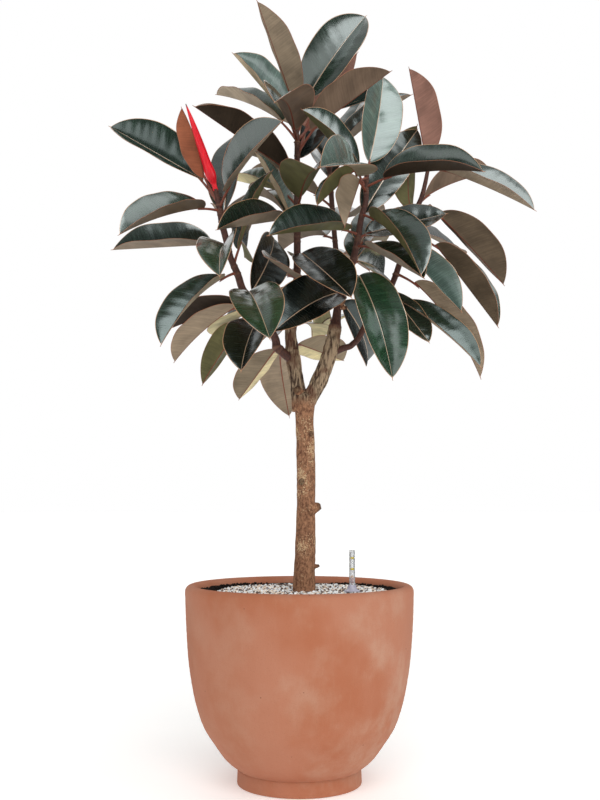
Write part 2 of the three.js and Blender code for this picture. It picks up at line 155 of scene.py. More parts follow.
# Leaves of each stem from its top down: tint, height at which the leaf springs, stalk length, turn, lift,
# blade length, width, bow of the midrib, roll about it, fold of its halves, and the stalk's lift if given.
LEAVES = {
    "leader": [
        ("grey", 1395, 55, 245, 42, 235, 100, 0, -30, 30), ("dusk", 1380, 85, 0, 55, 230, 120, 15, 80, 35),
        ("back", 1365, 90, 30, 25, 225, 95, 5, 65, 55), ("pale", 1365, 65, 145, 28, 220, 95, 10, -15, 40),
        ("brown", 1365, 35, 260, -5, 225, 120, 30, -10, 40),
        ("beige", 1360, 50, 155, 51, 240, 105, 0, -38, 58),
        ("brown", 1335, 60, 345, 33, 215, 115, 0, 8, 60), ("pink", 1320, 85, 35, 54, 255, 100, 20, -90, 30),
        ("shade", 1285, 50, 85, 44, 240, 100, 20, 40, 50), ("dusk", 1265, 45, 215, 22, 250, 110, 0, -25, 60),
        ("dark", 1260, 55, 135, 24, 230, 100, 15, -10, 40), ("cream", 1220, 60, 130, 20, 215, 95, 0, -20, 45),
        ("olive", 1210, 40, 280, 2, 190, 120, 15, 10, 40), ("dark", 1170, 60, 235, -17, 230, 100, 0, -35, 60),
        ("dark", 1155, 35, 130, 32, 185, 100, 20, 0, 35), ("beige", 1145, 50, 175, 62, 175, 95, 0, -15, 25),
        ("shade", 1115, 20, 300, -33, 240, 110, 5, 25, 25), ("dark", 1080, 55, 80, 4, 225, 100, 15, -5, 35),
        ("dark", 1060, 50, 110, -5, 220, 100, 15, 0, 35), ("dark", 1055, 10, 250, 3, 185, 80, 0, -35, 15),
        ("cream", 950, 40, 80, -1, 225, 100, 20, 45, 40), ("halved", 910, 25, 55, -6, 185, 100, 0, -20, 15),
    ],
    "right": [
        ("olive", 1295, 60, 240, -35, 210, 60, 0, 25, 70), ("grey", 1280, 80, 255, -43, 205, 95, 0, 90, 30),
        ("silver", 1275, 45, 55, 74, 225, 105, 10, 60, 25), ("dusk", 1260, 45, 335, -4, 225, 110, 10, 50, 60),
        ("olive", 1255, 45, 220, 32, 190, 105, 0, -60, 40),
        ("silver", 1250, 70, 250, -12, 255, 115, 20, -45, 40),
        ("olive", 1200, 30, 305, -44, 230, 120, 15, 5, 50),
        ("olive", 1155, 30, 220, -12, 230, 110, 5, -40, 50),
        ("dark", 1150, 60, 30, 55, 260, 90, 15, 60, 15), ("dark", 1145, 20, 355, 13, 185, 100, 0, 50, 15),
        ("dark", 1130, 30, 315, -31, 185, 105, 0, 10, 35), ("worn", 1105, 50, 60, 25, 220, 100, 20, 0, 35),
        ("grey", 1085, 55, 70, 1, 215, 100, 10, 75, 30), ("green", 1075, 35, 310, -67, 255, 120, 30, 30, 40),
        ("worn", 1070, 50, 65, 22, 220, 100, 20, 0, 35), ("shade", 1025, 15, 225, -29, 220, 120, 20, -45, 30),
        ("shade", 1010, 15, 70, -30, 220, 105, 20, 110, 25), ("dark", 1010, 50, 130, -8, 220, 100, 15, 0, 40),
        ("cream", 955, 45, 100, 0, 225, 100, 20, 30, 45),
    ],
    "outer": [
        ("grey", 1310, 25, 345, -28, 235, 100, 5, 30, 40), ("pink", 1310, 20, 140, 79, 230, 100, 0, 70, 45),
        ("brown", 1225, 30, 35, 23, 230, 100, 10, -25, 35), ("tan", 1225, 50, 20, -42, 225, 110, 5, -15, 40),
        ("dark", 1165, 40, 75, 12, 220, 100, 5, -15, 40), ("tan", 1160, 65, 345, -55, 230, 110, 0, 5, 55),
        ("dark", 1160, 40, 55, -3, 225, 100, 0, 40, 20), ("olive", 1160, 55, 70, 71, 235, 110, 15, -110, 20),
        ("silver", 1120, 10, 325, -48, 195, 110, 0, 45, 60), ("cream", 1070, 45, 75, 12, 225, 100, 20, 0, 35),
        ("grey", 1070, 45, 355, -57, 255, 100, 15, -15, 35), ("grey", 1030, 10, 315, -49, 160, 70, 0, 25, 15),
        ("worn", 1015, 40, 340, -41, 230, 95, 10, 25, 30),
    ],
    "left": [
        ("bronze", 1205, 65, 175, 72, 165, 70, -8, 155, 65, 61),
        ("worn", 1205, 65, 165, 32, 260, 120, 0, -55, 45),
        ("dark", 1195, 45, 305, 23, 230, 110, 5, 80, 40), ("tan", 1190, 40, 220, -24, 225, 105, 10, -25, 45),
        ("dark", 1185, 45, 80, -2, 215, 105, 20, -10, 35), ("olive", 1170, 40, 80, -13, 185, 100, 10, 80, 25),
        ("dark", 1155, 40, 75, 64, 225, 95, 10, -20, 20), ("green", 1110, 40, 270, -29, 220, 100, 20, 15, 40),
        ("dark", 1105, 40, 170, -1, 225, 110, 0, -40, 45), ("olive", 1075, 35, 350, 66, 185, 100, 5, 30, 25),
        ("worn", 1060, 35, 220, -46, 225, 100, 15, -10, 35),
        ("green", 1020, 45, 285, -34, 230, 115, 15, 15, 30),
        ("shade", 1005, 20, 75, 43, 225, 100, 15, 60, 20),
        ("grey", 1000, 45, 140, -29, 225, 100, 10, -10, 30),
        ("shade", 995, 45, 145, -12, 195, 100, 0, 0, 35), ("cream", 980, 55, 115, -9, 215, 100, 0, -40, 35),
        ("olive", 970, 80, 130, -38, 185, 100, 15, 25, 60), ("shade", 965, 55, 260, -38, 205, 100, 15, 5, 30),
        ("grey", 910, 75, 85, -31, 250, 110, 35, -15, 25), ("split", 904, 12, 122, -31, 190, 85, 0, -5, 25),
        ("dark", 910, 40, 100, 5, 225, 100, 20, 0, 35),
    ],
    "back": [
        ("dark", 1355, 30, 50, 53, 230, 60, 0, 0, 15), ("dark", 1350, 50, 355, 36, 210, 100, 5, 35, 40),
        ("dark", 1330, 45, 130, 40, 220, 100, 15, 0, 35), ("dark", 1290, 45, 100, 35, 220, 100, 15, 0, 35),
        ("dark", 1250, 45, 150, 19, 225, 100, 15, 25, 35), ("dark", 1200, 45, 60, 10, 220, 100, 15, 0, 35),
        ("dark", 1170, 40, 120, 1, 220, 105, 15, 0, 40), ("dark", 1120, 50, 70, 0, 220, 95, 15, -5, 30),
    ],
}
# Colour of a leaf's upper face and of its underside, or of the left and right half of that.
TINTS = {
    # On this line the second and third tints, near black and dark brown below, are painted shade: they darken
    # leaves that lie in the shade of others.
    "dark": ("#121F15", "#7F7160"), "shade": ("#070B08", "#3A3028"), "dusk": ("#142316", "#33291F"),
    "grey": ("#152319", "#8F7F6B"), "brown": ("#121F15", "#6E5B4B"), "pink": ("#131D16", "#8A6558"),
    # The last tint on this line, with its lighter upper face and pale yellow underside, is painted light, for
    # leaves that light shines through from behind.
    "tan": ("#172A1C", "#5E5040"), "olive": ("#14261A", "#5F5C3C"), "cream": ("#33503F", "#CBBF93"),
    # The first tint on this line has its upper face lightened to grey-green as a painted reflection of the
    # lights. In the next one the pale yellow half of the underside is painted light shining through the leaf
    # from behind.
    "beige": ("#566860", "#BBA98C"), "split": ("#1A2A1C", "#7D705D", "#CFC298"),
    # In the first tint on this line the pale yellow half of the underside is painted light shining through
    # the leaf from behind.
    "halved": ("#1A2A1C", "#CBBF93", "#8A7C66"), "bronze": ("#8A5138", "#8A5138"),
    # The first tint on this line has its upper face lightened to grey-green as a painted reflection of the
    # lights.
    "silver": ("#4C5E55", "#857B67"), "green": ("#17331D", "#7A7556"), "back": ("#122015", "#B4A488"),
    "pale": ("#1C2E20", "#A39480"), "worn": ("#16261A", "#857B67"),
}
# Share of the full gloss of leaves whose wax has worn dull. The others have all of it.
GLOSS = {"shade": 0.1, "back": 0.1, "worn": 0.35}
# How far the side veins fall back along the midrib for each millimetre across the blade.
VEIN_SLANT = 0.45
# Radius of a leaf's stalk from the stem to its end, which lies this far along the blade, under the midrib.
STALK = [3.6, 3.1, 2.8, 2.7, 2.6, 2.5, 2.2, 1.6, 0.6]
STALK_END = 18


def srgb(code):
    """Linear red, green and blue of an sRGB hex colour."""
    part = np.array([int(code[i : i + 2], 16) for i in (1, 3, 5)]) / 255
    return tuple(np.where(part <= 0.04045, part / 12.92, ((part + 0.055) / 1.055) ** 2.4).tolist())


def colour(label, description, code):
    """Colour that the user may change, given as sRGB hex."""
    kind = {"subtype": "COLOR", "size": 3, "min": 0, "max": 1}
    return FloatVectorProperty(name=label, description=description, default=srgb(code), **kind)


def length(label, description, millimetres):
    """Length that the user may change, given in millimetres."""
    metres = millimetres / 1000
    return FloatProperty(name=label, description=description, default=metres, min=0, unit="LENGTH")


def amount(label, description, value, **limits):
    """Plain number that the user may change, from 0 up."""
    return FloatProperty(name=label, description=description, default=value, **{"min": 0, **limits})


class PotSettings(bpy.types.PropertyGroup):
    """Pot, soil and gravel."""

    rings: length("Throwing rings", "Depth of the turning marks in the clay", 0.25)
    sway: length("Unevenness", "How far the hand-made wall strays from round", 0.7)
    clay: colour("Clay", "Fired terracotta", "#B1765C")
    flush: colour("Flush", "Redder places in the clay", "#A96749")
    bloom: colour("Lime bloom", "Pale salts that dry on the clay", "#BE9C86")
    soil: colour("Soil", "Moist peat", "#100D0B")
    chip: length("Chip size", "Width of a pumice chip", 6.6)
    pale: colour("Pale chips", "Blue-white pumice", "#F3F5F5")
    warm: colour("Warm chips", "Beige pumice", "#EAD6C2")
    # The dark chips are partly brown-grey stone and partly painted shade, standing in for the shadows between
    # the chips.
    dark: colour("Dark chips", "Brown-grey stone", "#65544D")
    seed: IntProperty(name="Seed", description="Lay of the chips and crumbs", default=5, min=0)


class WoodSettings(bpy.types.PropertyGroup):
    """Trunk, limbs and stems."""

    furrow: length("Furrow depth", "Depth of the furrows in old bark", 1.3)
    bark: colour("Trunk bark", "Red-brown bark of the trunk", "#A67A5B")
    pit: colour("Bark pits", "Pits between the scales of the trunk", "#5B392A")
    speckle: colour("Speckles", "Corky speckles on the trunk", "#CDB08A")
    ridge: colour("Ridges", "Pale corky ridges of the limbs", "#A08A70")
    groove: colour("Furrows", "Dark furrows of the limbs", "#3B2B22")
    young: colour("Young stems", "Smooth skin of young stems", "#3C2722")
    stalk: colour("Leaf stalks", "Skin of the leaf stalks", "#95503A")
    sheath: colour("Growth sheath", "Red skin round the newest bud", "#EA1428")


class LeafSettings(bpy.types.PropertyGroup):
    """Blades of the leaves."""

    thickness: length("Thickness", "Thickness of a blade", 0.9)
    wave: length("Waviness", "Height of the waves along the margins", 1.1)
    ripple: length("Ripples", "Height of the ripples between the side veins", 0.9)
    rib: colour("Midrib above", "Midrib on the upper face", "#B89A80")
    keel: colour("Midrib below", "Raised midrib on the underside", "#7A4232")
    margin: colour("Margin", "Thin edge of the blade", "#CB9C74")
    hem: colour("Margin below", "The same edge from below", "#9B6A52")


class GaugeSettings(bpy.types.PropertyGroup):
    """Water level gauge."""

    tube: colour("Tube", "Clear tube", "#E2E3E4")
    collar: colour("Collar", "Clear collar", "#C9C6D6")
    mark: colour("Marks", "Printed level marks", "#D6BE3A")
    float: colour("Float", "Red float", "#A3161C")
    tip: colour("Float tip", "Painted top of the float", "#E09A2C")


class StudioSettings(bpy.types.PropertyGroup):
    """Floor, lights and camera."""

    floor: colour("Floor", "Pale floor", "#FBFAF8")
    sky: amount("Sky", "Light from straight overhead", 0.52)
    dim: amount("Dim side", "Light from level with the plant", 0.06)
    key: amount("Key light", "Strength of the main soft light", 1.55)
    lens: amount("Lens", "Focal length of the camera", 48.7, min=1, unit="CAMERA")


def unit(vectors):
    """Vectors at length 1."""
    return vectors / np.linalg.norm(vectors, axis=-1, keepdims=True)


def ease(value, low, high):
    """0 below low and 1 above high, with a smooth step between: 3 f squared less 2 f cubed."""
    f = np.clip((value - low) / (high - low), 0, 1)
    return f * f * (3 - 2 * f)


def heading(turn, lift):
    """Unit vector: turn 0 points to +X and a quarter turn away from the viewer, lift is above the level."""
    return np.stack([np.cos(turn) * np.cos(lift), np.sin(turn) * np.cos(lift), np.sin(lift)], axis=-1)


def ripple(loops, sides, cells, rows, seed):
    """Smooth seeded noise from -1 to 1 for a stack of loops: random knots on a lattice of cells round the
    loops by rows along the stack, eased between the knots. It has no seam round a loop."""
    knots = np.random.default_rng(seed).uniform(-1, 1, (rows + 2, cells))
    around, along = np.arange(sides)[None] / sides, np.linspace(0, 1, loops)[:, None]
    across, up = np.broadcast_arrays(around * cells, along * rows)
    column, row = np.floor(across).astype(int), np.floor(up).astype(int)
    p, q = (f * f * (3 - 2 * f) for f in (across - column, up - row))
    left, right = column % cells, (column + 1) % cells
    low = knots[row, left] * (1 - p) + knots[row, right] * p
    high = knots[row + 1, left] * (1 - p) + knots[row + 1, right] * p
    return low * (1 - q) + high * q


def curve(sections, count):
    """Smooth line through sections (x, y, z, radius): between two of them a cubic in the length, whose slope
    at each is that of its neighbours. It is given as count places evenly spaced by length."""
    sections = np.array(sections, float)
    reach = np.concatenate([[0], np.cumsum(np.linalg.norm(np.diff(sections[:, :3], axis=0), axis=1))])
    slope = np.gradient(sections, reach, axis=0)
    at = np.linspace(0, reach[-1], count)
    i = np.clip(np.searchsorted(reach, at, side="right") - 1, 0, len(reach) - 2)
    gap = (reach[i + 1] - reach[i])[:, None]
    f = (at - reach[i])[:, None] / gap
    return (
        sections[i] * (1 + 2 * f) * (1 - f) ** 2
        + slope[i] * gap * f * (1 - f) ** 2
        + sections[i + 1] * f * f * (3 - 2 * f)
        + slope[i + 1] * gap * f * f * (f - 1)
    )


def round_path(paths, radius, sides):
    """Loops round paths[body, place]: at angle a the place plus radius times cos a of one direction square to
    the path and sin a of the other. radius is given for each place, or for each place and side."""
    ahead = unit(np.gradient(paths, axis=1))
    across = np.eye(3)[np.argmin(np.abs(paths[:, -1] - paths[:, 0]), axis=1)][:, None]
    first = unit(np.cross(across, ahead))
    second = np.cross(ahead, first)
    angle = (np.arange(sides) * 2 * np.pi / sides)[:, None]
    ring = np.cos(angle) * first[:, :, None] + np.sin(angle) * second[:, :, None]
    radius = radius[..., None] if radius.ndim == 2 else radius
    return paths[:, :, None] + radius[..., None] * ring


def turned(profile, sides, x=0, y=0, sway=0):
    """Loops about the upright axis through (x, y): at angle a the profile's radius, plus its sway for each
    point and side, times (cos a, sin a), at the profile's height."""
    radius, height = np.array(profile, float).T[:, :, None]
    angle = np.arange(sides) * 2 * np.pi / sides
    radius = radius + sway
    level = np.broadcast_to(height, (len(profile), sides))
    return np.stack([x + radius * np.cos(angle), y + radius * np.sin(angle), level], axis=-1)[None]


def skin(grid, slots=0, wrap=False, **values):
    """Skins over stacks of closed loops, grid[body, loop, point]: four-cornered faces join each loop to the
    next, and a fan about the middle of the first and of the last loop closes the ends. With wrap the last
    loop joins the first instead. slots gives the faces their materials, and values go with the points."""
    bodies, loops, count = grid.shape[:3]
    size = loops * count
    row = np.arange(loops if wrap else loops - 1)[:, None] * count
    column = np.arange(count)[None]
    after, above = (column + 1) % count, (row + count) % size
    quads = np.stack([row + column, row + after, above + after, above + column], axis=-1)
    slots = np.broadcast_to(slots, quads.shape[:2])
    start = np.stack([np.full(count, size), after[0], column[0]], axis=-1)
    end = np.stack([np.full(count, size + 1), size - count + column[0], size - count + after[0]], axis=-1)
    fans = np.zeros((0, 3), int) if wrap else np.concatenate([start, end])
    fan_slots = np.zeros(0, int) if wrap else np.concatenate([slots[0], slots[-1]])
    step = (np.arange(bodies) * (size if wrap else size + 2))[:, None, None]

    def listed(field):
        field = np.broadcast_to(field, (bodies, loops, count, field.shape[-1]))
        flat = field.reshape(bodies, size, -1)
        ends = [] if wrap else [field[:, [0, -1]].mean(axis=2)]
        return np.concatenate([flat, *ends], axis=1).reshape(-1, field.shape[-1])

    values = {key: value if value.ndim == 4 else value[..., None] for key, value in values.items()}
    return {
        "points": listed(grid),
        "quads": (quads.reshape(1, -1, 4) + step).reshape(-1, 4),
        "fans": (fans[None] + step).reshape(-1, 3),
        "slots": (np.tile(slots.ravel(), bodies), np.tile(fan_slots, bodies)),
        "values": {key: listed(value) for key, value in values.items()},
    }


def make_piece(name, parts, materials, node, body="planter"):
    """Puts the parts into one smooth mesh object that stands for the node and rides on the body."""
    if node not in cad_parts:
        raise RuntimeError(f"The packed model has no node {node}")
    starts = np.cumsum([0] + [len(part["points"]) for part in parts[:-1]])
    points = np.concatenate([part["points"] for part in parts]) / 1000
    moved = ([part[kind] + start for part, start in zip(parts, starts)] for kind in ("quads", "fans"))
    quads, fans = (np.concatenate(faces) for faces in moved)
    mesh = bpy.data.meshes.new(name)
    mesh.vertices.add(len(points))
    mesh.vertices.foreach_set("co", points.ravel())
    corners = np.concatenate([quads.ravel(), fans.ravel()])
    mesh.loops.add(len(corners))
    mesh.loops.foreach_set("vertex_index", corners)
    mesh.polygons.add(len(quads) + len(fans))
    first = np.concatenate([np.arange(len(quads)) * 4, 4 * len(quads) + np.arange(len(fans)) * 3])
    mesh.polygons.foreach_set("loop_start", first)
    slots = np.concatenate([part["slots"][kind] for kind in (0, 1) for part in parts])
    mesh.polygons.foreach_set("material_index", slots)
    mesh.update(calc_edges=True)
    if mesh.validate():
        raise RuntimeError(f"The mesh of {name} has bad faces")
    mesh.shade_smooth()
    for key in sorted({key for part in parts for key in part["values"]}):
        width = max(part["values"][key].shape[1] for part in parts if key in part["values"])
        field = [part["values"].get(key, np.zeros((len(part["points"]), width))) for part in parts]
        kind, word = ("FLOAT", "value") if width == 1 else ("FLOAT_COLOR", "color")
        attribute = mesh.attributes.new(key, kind, "POINT")
        attribute.data.foreach_set(word, np.concatenate(field).ravel())
    for made in materials:
        mesh.materials.append(made)
    piece = bpy.data.objects.new(name, mesh)
    bpy.context.scene.collection.objects.link(piece)
    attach(piece, body)
    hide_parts(node)
    return piece


def add_node(tree, kind, inputs=None, output=0, **settings):
    """Adds one node with its settings, gives each input named or numbered its value or its link, and returns
    the output asked for. Input 0 of a MapRange is the value, 1 and 2 the range it comes from, 3 and 4 the one
    it goes to. Input 0 of a colour Mix is the share of colour 7 over colour 6."""
    made = tree.nodes.new("ShaderNode" + kind)
    for key, value in settings.items():
        setattr(made, key, value)
    for key, value in (inputs or {}).items():
        if isinstance(value, bpy.types.NodeSocket):
            tree.links.new(value, made.inputs[key])
        else:
            made.inputs[key].default_value = value
    return made.outputs[output] if made.outputs else None


def material(name, surface, *settings):
    """Material whose principled shader has the inputs that the surface function gives."""
    made = bpy.data.materials.new(name)
    made.use_nodes = True
    made.node_tree.nodes.clear()
    add = partial(add_node, made.node_tree)
    add("OutputMaterial", {0: add("BsdfPrincipled", surface(add, *settings))})
    return made


def opaque(tone):
    """Colour with full alpha."""
    return (*(srgb(tone) if isinstance(tone, str) else tone), 1)


def terracotta(add, pot):
    """Unglazed terracotta, thrown and fired: redder flushes and pale lime bloom give a warm clouded matt
    skin."""
    place = add("TexCoord", output="Object")
    # Clouds of the firing are a hand or two wide, and a little taller than that.
    wide = add("Mapping", {"Vector": place, "Scale": (1, 1, 0.85)})
    cloud = add("TexNoise", {"Vector": wide, "Scale": 1000 / 190, "Detail": 4, "Roughness": 0.5})
    flush = add("MapRange", {0: cloud, 1: 0.4, 2: 0.66}, interpolation_type="SMOOTHSTEP")
    # Lime bloom, in blots of 110 mm with frayed edges, thickest towards +X. That lean to one side is partly
    # painted light: it makes the side the light falls on paler.
    blot = add("TexNoise", {"Vector": wide, "Scale": 1000 / 110, "Detail": 7, "Roughness": 0.58})
    side = add("SeparateXYZ", {0: place})
    bloom_and_lit_side = add("MapRange", {0: side, 1: -0.2, 2: 0.24, 3: 0.2, 4: 0.7})
    bloom = add("MapRange", {0: blot, 1: 0.44, 2: 0.74, 4: bloom_and_lit_side}, interpolation_type="SMOOTHSTEP")
    # Scuffs 7 mm wide, drawn out up the wall.
    upright = add("Mapping", {"Vector": place, "Scale": (1, 1, 0.12)})
    scuff = add("TexNoise", {"Vector": upright, "Scale": 1000 / 7, "Detail": 4, "Roughness": 0.65})
    pale = add("MapRange", {0: scuff, 1: 0.55, 2: 0.8, 4: 0.1})
    # Sand grains of about 1 mm, drawn at 2 mm, and a few pits about 3 mm across, so that they show.
    sand = add("TexNoise", {"Vector": place, "Scale": 1000 / 2, "Detail": 2})
    grain = add("MapRange", {0: sand, 1: 0.56, 2: 0.72, 4: 0.18})
    cell = add("TexVoronoi", {"Vector": place, "Scale": 1000 / 38})
    pit = add("MapRange", {0: cell, 1: 0.028, 2: 0.042, 3: 0.75, 4: 0})
    body = opaque(pot.clay)
    layers = ((flush, pot.flush), (bloom, pot.bloom), (pale, pot.bloom), (grain, "#84503A"), (pit, "#5A3424"))
    for part, tone in layers:
        body = add("Mix", {0: part, 6: body, 7: opaque(tone)}, 2, data_type="RGBA")
    rough = add("MapRange", {0: blot, 1: 0.3, 2: 0.7, 3: 0.78, 4: 0.92})
    height = add("Math", {0: sand, 1: pit}, operation="SUBTRACT")
    bump = add("Bump", {"Height": height, "Distance": 0.0004})
    return {"Base Color": body, "Roughness": rough, "IOR": 1.5, "Specular IOR Level": 0.3, "Normal": bump}


def peat(add, pot):
    """Peat potting soil, moist and crumbled: nearly black, with brown crumbs and fibres of 1 to 3 mm."""
    place = add("TexCoord", output="Object")
    crumb = add("TexNoise", {"Vector": place, "Scale": 1000 / 3, "Detail": 4, "Roughness": 0.7})
    fibre = add("MapRange", {0: crumb, 1: 0.45, 2: 0.75})
    body = add("Mix", {0: fibre, 6: opaque(pot.soil), 7: opaque("#2E2119")}, 2, data_type="RGBA")
    bump = add("Bump", {"Height": crumb, "Distance": 0.0008})
    return {"Base Color": body, "Roughness": 0.95, "Specular IOR Level": 0.2, "Normal": bump}


def pumice(add, pot):
    """Pumice chips, crushed: pale broken faces pitted with pores, each chip in its own tone."""
    place = add("TexCoord", output="Object")
    # Pores of about 0.4 mm, drawn at 1.2 mm so that they show.
    pore = add("TexNoise", {"Vector": place, "Scale": 1000 / 1.2, "Detail": 3, "Roughness": 0.6})
    hollow = add("MapRange", {0: pore, 1: 0.5, 2: 0.72, 4: 0.25})
    tone = add("Attribute", output="Color", attribute_name="chip")
    body = add("Mix", {0: hollow, 6: tone, 7: opaque("#584B47")}, 2, data_type="RGBA")
    bump = add("Bump", {"Height": pore, "Distance": 0.0005})
    return {"Base Color": body, "Roughness": 0.9, "Specular IOR Level": 0.3, "Normal": bump}


def bark(add, wood):
    """Fig bark, grown: red-brown, pitted and flecked with cork on the trunk, pale ridges over dark furrows on
    the limbs, and smooth dark maroon skin with faint leaf scars on young stems."""
    place = add("TexCoord", output="Object")
    keys = ("relief", "furrowed", "young", "scar", "cut", "dim")
    relief, old, fresh, scar, cut, dim = (add("Attribute", output="Fac", attribute_name=key) for key in keys)
    # Trunk: scales of about 4 mm, a little taller than wide, with pits between them.
    tall = add("Mapping", {"Vector": place, "Scale": (1, 1, 0.6)})
    scale = add("TexNoise", {"Vector": tall, "Scale": 1000 / 4.5, "Detail": 5, "Roughness": 0.7})
    shade = add("MapRange", {0: scale, 1: 0.36, 2: 0.62})
    trunk = add("Mix", {0: shade, 6: opaque(wood.pit), 7: opaque(wood.bark)}, 2, data_type="RGBA")
    # Corky flecks of about 3 mm, thickest in patches of 40 mm.
    speck = add("TexNoise", {"Vector": place, "Scale": 1000 / 3, "Detail": 2, "Roughness": 0.5})
    patch = add("TexNoise", {"Vector": place, "Scale": 1000 / 40, "Detail": 1})
    both = add("Math", {0: speck, 1: patch}, operation="ADD")
    fleck = add("MapRange", {0: both, 1: 1.11, 2: 1.23, 4: 0.85})
    trunk = add("Mix", {0: fleck, 6: trunk, 7: opaque(wood.speckle)}, 2, data_type="RGBA")
    # Limbs: ridges and furrows 3 mm wide and 20 mm long, over the relief of the skin.
    long = add("Mapping", {"Vector": place, "Scale": (1, 1, 0.16)})
    ridge = add("TexNoise", {"Vector": long, "Scale": 1000 / 3.6, "Detail": 4, "Roughness": 0.62})
    level = add("Math", {0: relief, 1: 0.09, 2: ridge}, operation="MULTIPLY_ADD")
    high = add("MapRange", {0: level, 1: 0.4, 2: 0.6})
    limb = add("Mix", {0: high, 6: opaque(wood.groove), 7: opaque(wood.ridge)}, 2, data_type="RGBA")
    brown = add("MapRange", {0: patch, 1: 0.54, 2: 0.64, 4: 0.7})
    limb = add("Mix", {0: brown, 6: limb, 7: opaque(wood.pit)}, 2, data_type="RGBA")
    # Young stems, the rings of fallen leaves on them, the pale wood of cuts and their dark rims.
    smooth = add("Mix", {0: shade, 6: opaque(wood.young), 7: opaque("#5A382E")}, 2, data_type="RGBA")
    ring = add("Math", {0: scar, 1: 0.4}, operation="MULTIPLY")
    wound = add("Mix", {0: speck, 6: opaque("#8E6444"), 7: opaque("#DCC09A")}, 2, data_type="RGBA")
    body = trunk
    layers = ((old, limb), (fresh, smooth), (ring, opaque("#7C5A47")), (cut, wound), (dim, opaque("#2A1B16")))
    for part, tone in layers:
        body = add("Mix", {0: part, 6: body, 7: tone}, 2, data_type="RGBA")
    rough = add("MapRange", {0: fresh, 3: 0.9, 4: 0.5})
    height = add("Mix", {0: old, 2: scale, 3: ridge})
    bump = add("Bump", {"Height": height, "Distance": 0.0022})
    return {"Base Color": body, "Roughness": rough, "IOR": 1.45, "Specular IOR Level": 0.3, "Normal": bump}


def stalk_skin(add, wood):
    """Leaf stalk, living: smooth reddish skin, slightly glossy."""
    place = add("TexCoord", output="Object")
    blush = add("TexNoise", {"Vector": place, "Scale": 1000 / 12, "Detail": 2})
    body = add("Mix", {0: blush, 6: opaque(wood.stalk), 7: opaque("#54291F")}, 2, data_type="RGBA")
    return {"Base Color": body, "Roughness": 0.42, "IOR": 1.45}


def blade_skin(add, leaf, upper):
    """Rubber plant leaf, living: the upper face is waxed and glossy, the underside satin, both with fine
    parallel side veins, a midrib, and a thin pinkish margin."""
    tint = add("Attribute", output="Color", attribute_name="tint")
    keys = ("vein", "span", "rib", "rim")
    vein, span, width, rim = (add("Attribute", output="Fac", attribute_name=key) for key in keys)
    # Millimetres of blade along the midrib and across it, so that the side veins run out from the midrib.
    place = add("CombineXYZ", {0: vein, 1: span})
    # Side veins are 2 mm apart, drawn at 3 mm so that they show, and 60 mm long.
    drawn = add("Mapping", {"Vector": place, "Scale": (1 / 3, 1 / 60, 1)})
    streak = add("TexNoise", {"Vector": drawn, "Scale": 1.0, "Detail": 3, "Roughness": 0.65})
    cloud = add("TexNoise", {"Vector": place, "Scale": 1 / 45, "Detail": 3})
    uneven = add("MapRange", {0: cloud, 1: 0.35, 2: 0.68, 3: 1.12, 4: 0.72})
    line = add("MapRange", {0: streak, 1: 0.4, 2: 0.72, 3: 1, 4: 1.7 if upper else 1.35})
    tone = add("Math", {0: uneven, 1: line}, operation="MULTIPLY")
    body = add("VectorMath", {0: tint, 3: tone}, operation="SCALE")
    rib = add("MapRange", {0: width, 1: 0.7, 2: 1.15, 3: 1, 4: 0})
    body = add("Mix", {0: rib, 6: body, 7: opaque(leaf.rib if upper else leaf.keel)}, 2, data_type="RGBA")
    # The margin is about 0.5 mm wide. It is drawn 0.7 mm wide and fades out at 1.5 mm, so that it shows.
    edge = add("MapRange", {0: rim, 1: 0.7, 2: 1.5, 3: 1, 4: 0})
    body = add("Mix", {0: edge, 6: body, 7: opaque(leaf.margin if upper else leaf.hem)}, 2, data_type="RGBA")
    low, high = (0.15, 0.3) if upper else (0.55, 0.7)
    rough = add("MapRange", {0: streak, 1: 0.35, 2: 0.65, 3: low, 4: high})
    bump = add("Bump", {"Height": streak, "Distance": 0.00018 if upper else 0.0002})
    inputs = {"Base Color": body, "Roughness": rough, "IOR": 1.5, "Normal": bump}
    if not upper:
        return {**inputs, "Specular IOR Level": 0.15}
    # Wax is a second clear layer, thinner where it has worn. The gloss under it is a little blue-green.
    wax = add("Attribute", output="Fac", attribute_name="gloss")
    inputs = {**inputs, "Specular IOR Level": 1.0, "Specular Tint": opaque("#DDF4F2")}
    return {**inputs, "Coat Weight": wax, "Coat Roughness": 0.2, "Coat IOR": 1.7}


def sheath_skin(add, wood):
    """Growth sheath, living: papery red skin with a soft gloss, darker towards its dry tip."""
    place = add("TexCoord", output="Object")
    long = add("Mapping", {"Vector": place, "Scale": (1, 1, 0.12)})
    streak = add("TexNoise", {"Vector": long, "Scale": 1000 / 3, "Detail": 3})
    deep = add("MapRange", {0: streak, 1: 0.4, 2: 0.7, 4: 0.4})
    body = add("Mix", {0: deep, 6: opaque(wood.sheath), 7: opaque("#A80F1E")}, 2, data_type="RGBA")
    dim = add("Attribute", output="Fac", attribute_name="dim")
    body = add("Mix", {0: dim, 6: body, 7: opaque("#3B2A2A")}, 2, data_type="RGBA")
    bump = add("Bump", {"Height": streak, "Distance": 0.0003})
    return {"Base Color": body, "Roughness": 0.38, "IOR": 1.45, "Normal": bump}


def clear_plastic(add, tone, through, roughness):
    """Clear polystyrene, moulded: light passes through it, a little clouded, under a smooth gloss."""
    place = add("TexCoord", output="Object")
    cloud = add("TexNoise", {"Vector": place, "Scale": 1000 / 9, "Detail": 2})
    rough = add("MapRange", {0: cloud, 1: 0.3, 2: 0.7, 3: roughness, 4: roughness + 0.04})
    return {"Base Color": opaque(tone), "Roughness": rough, "IOR": 1.59, "Transmission Weight": through}


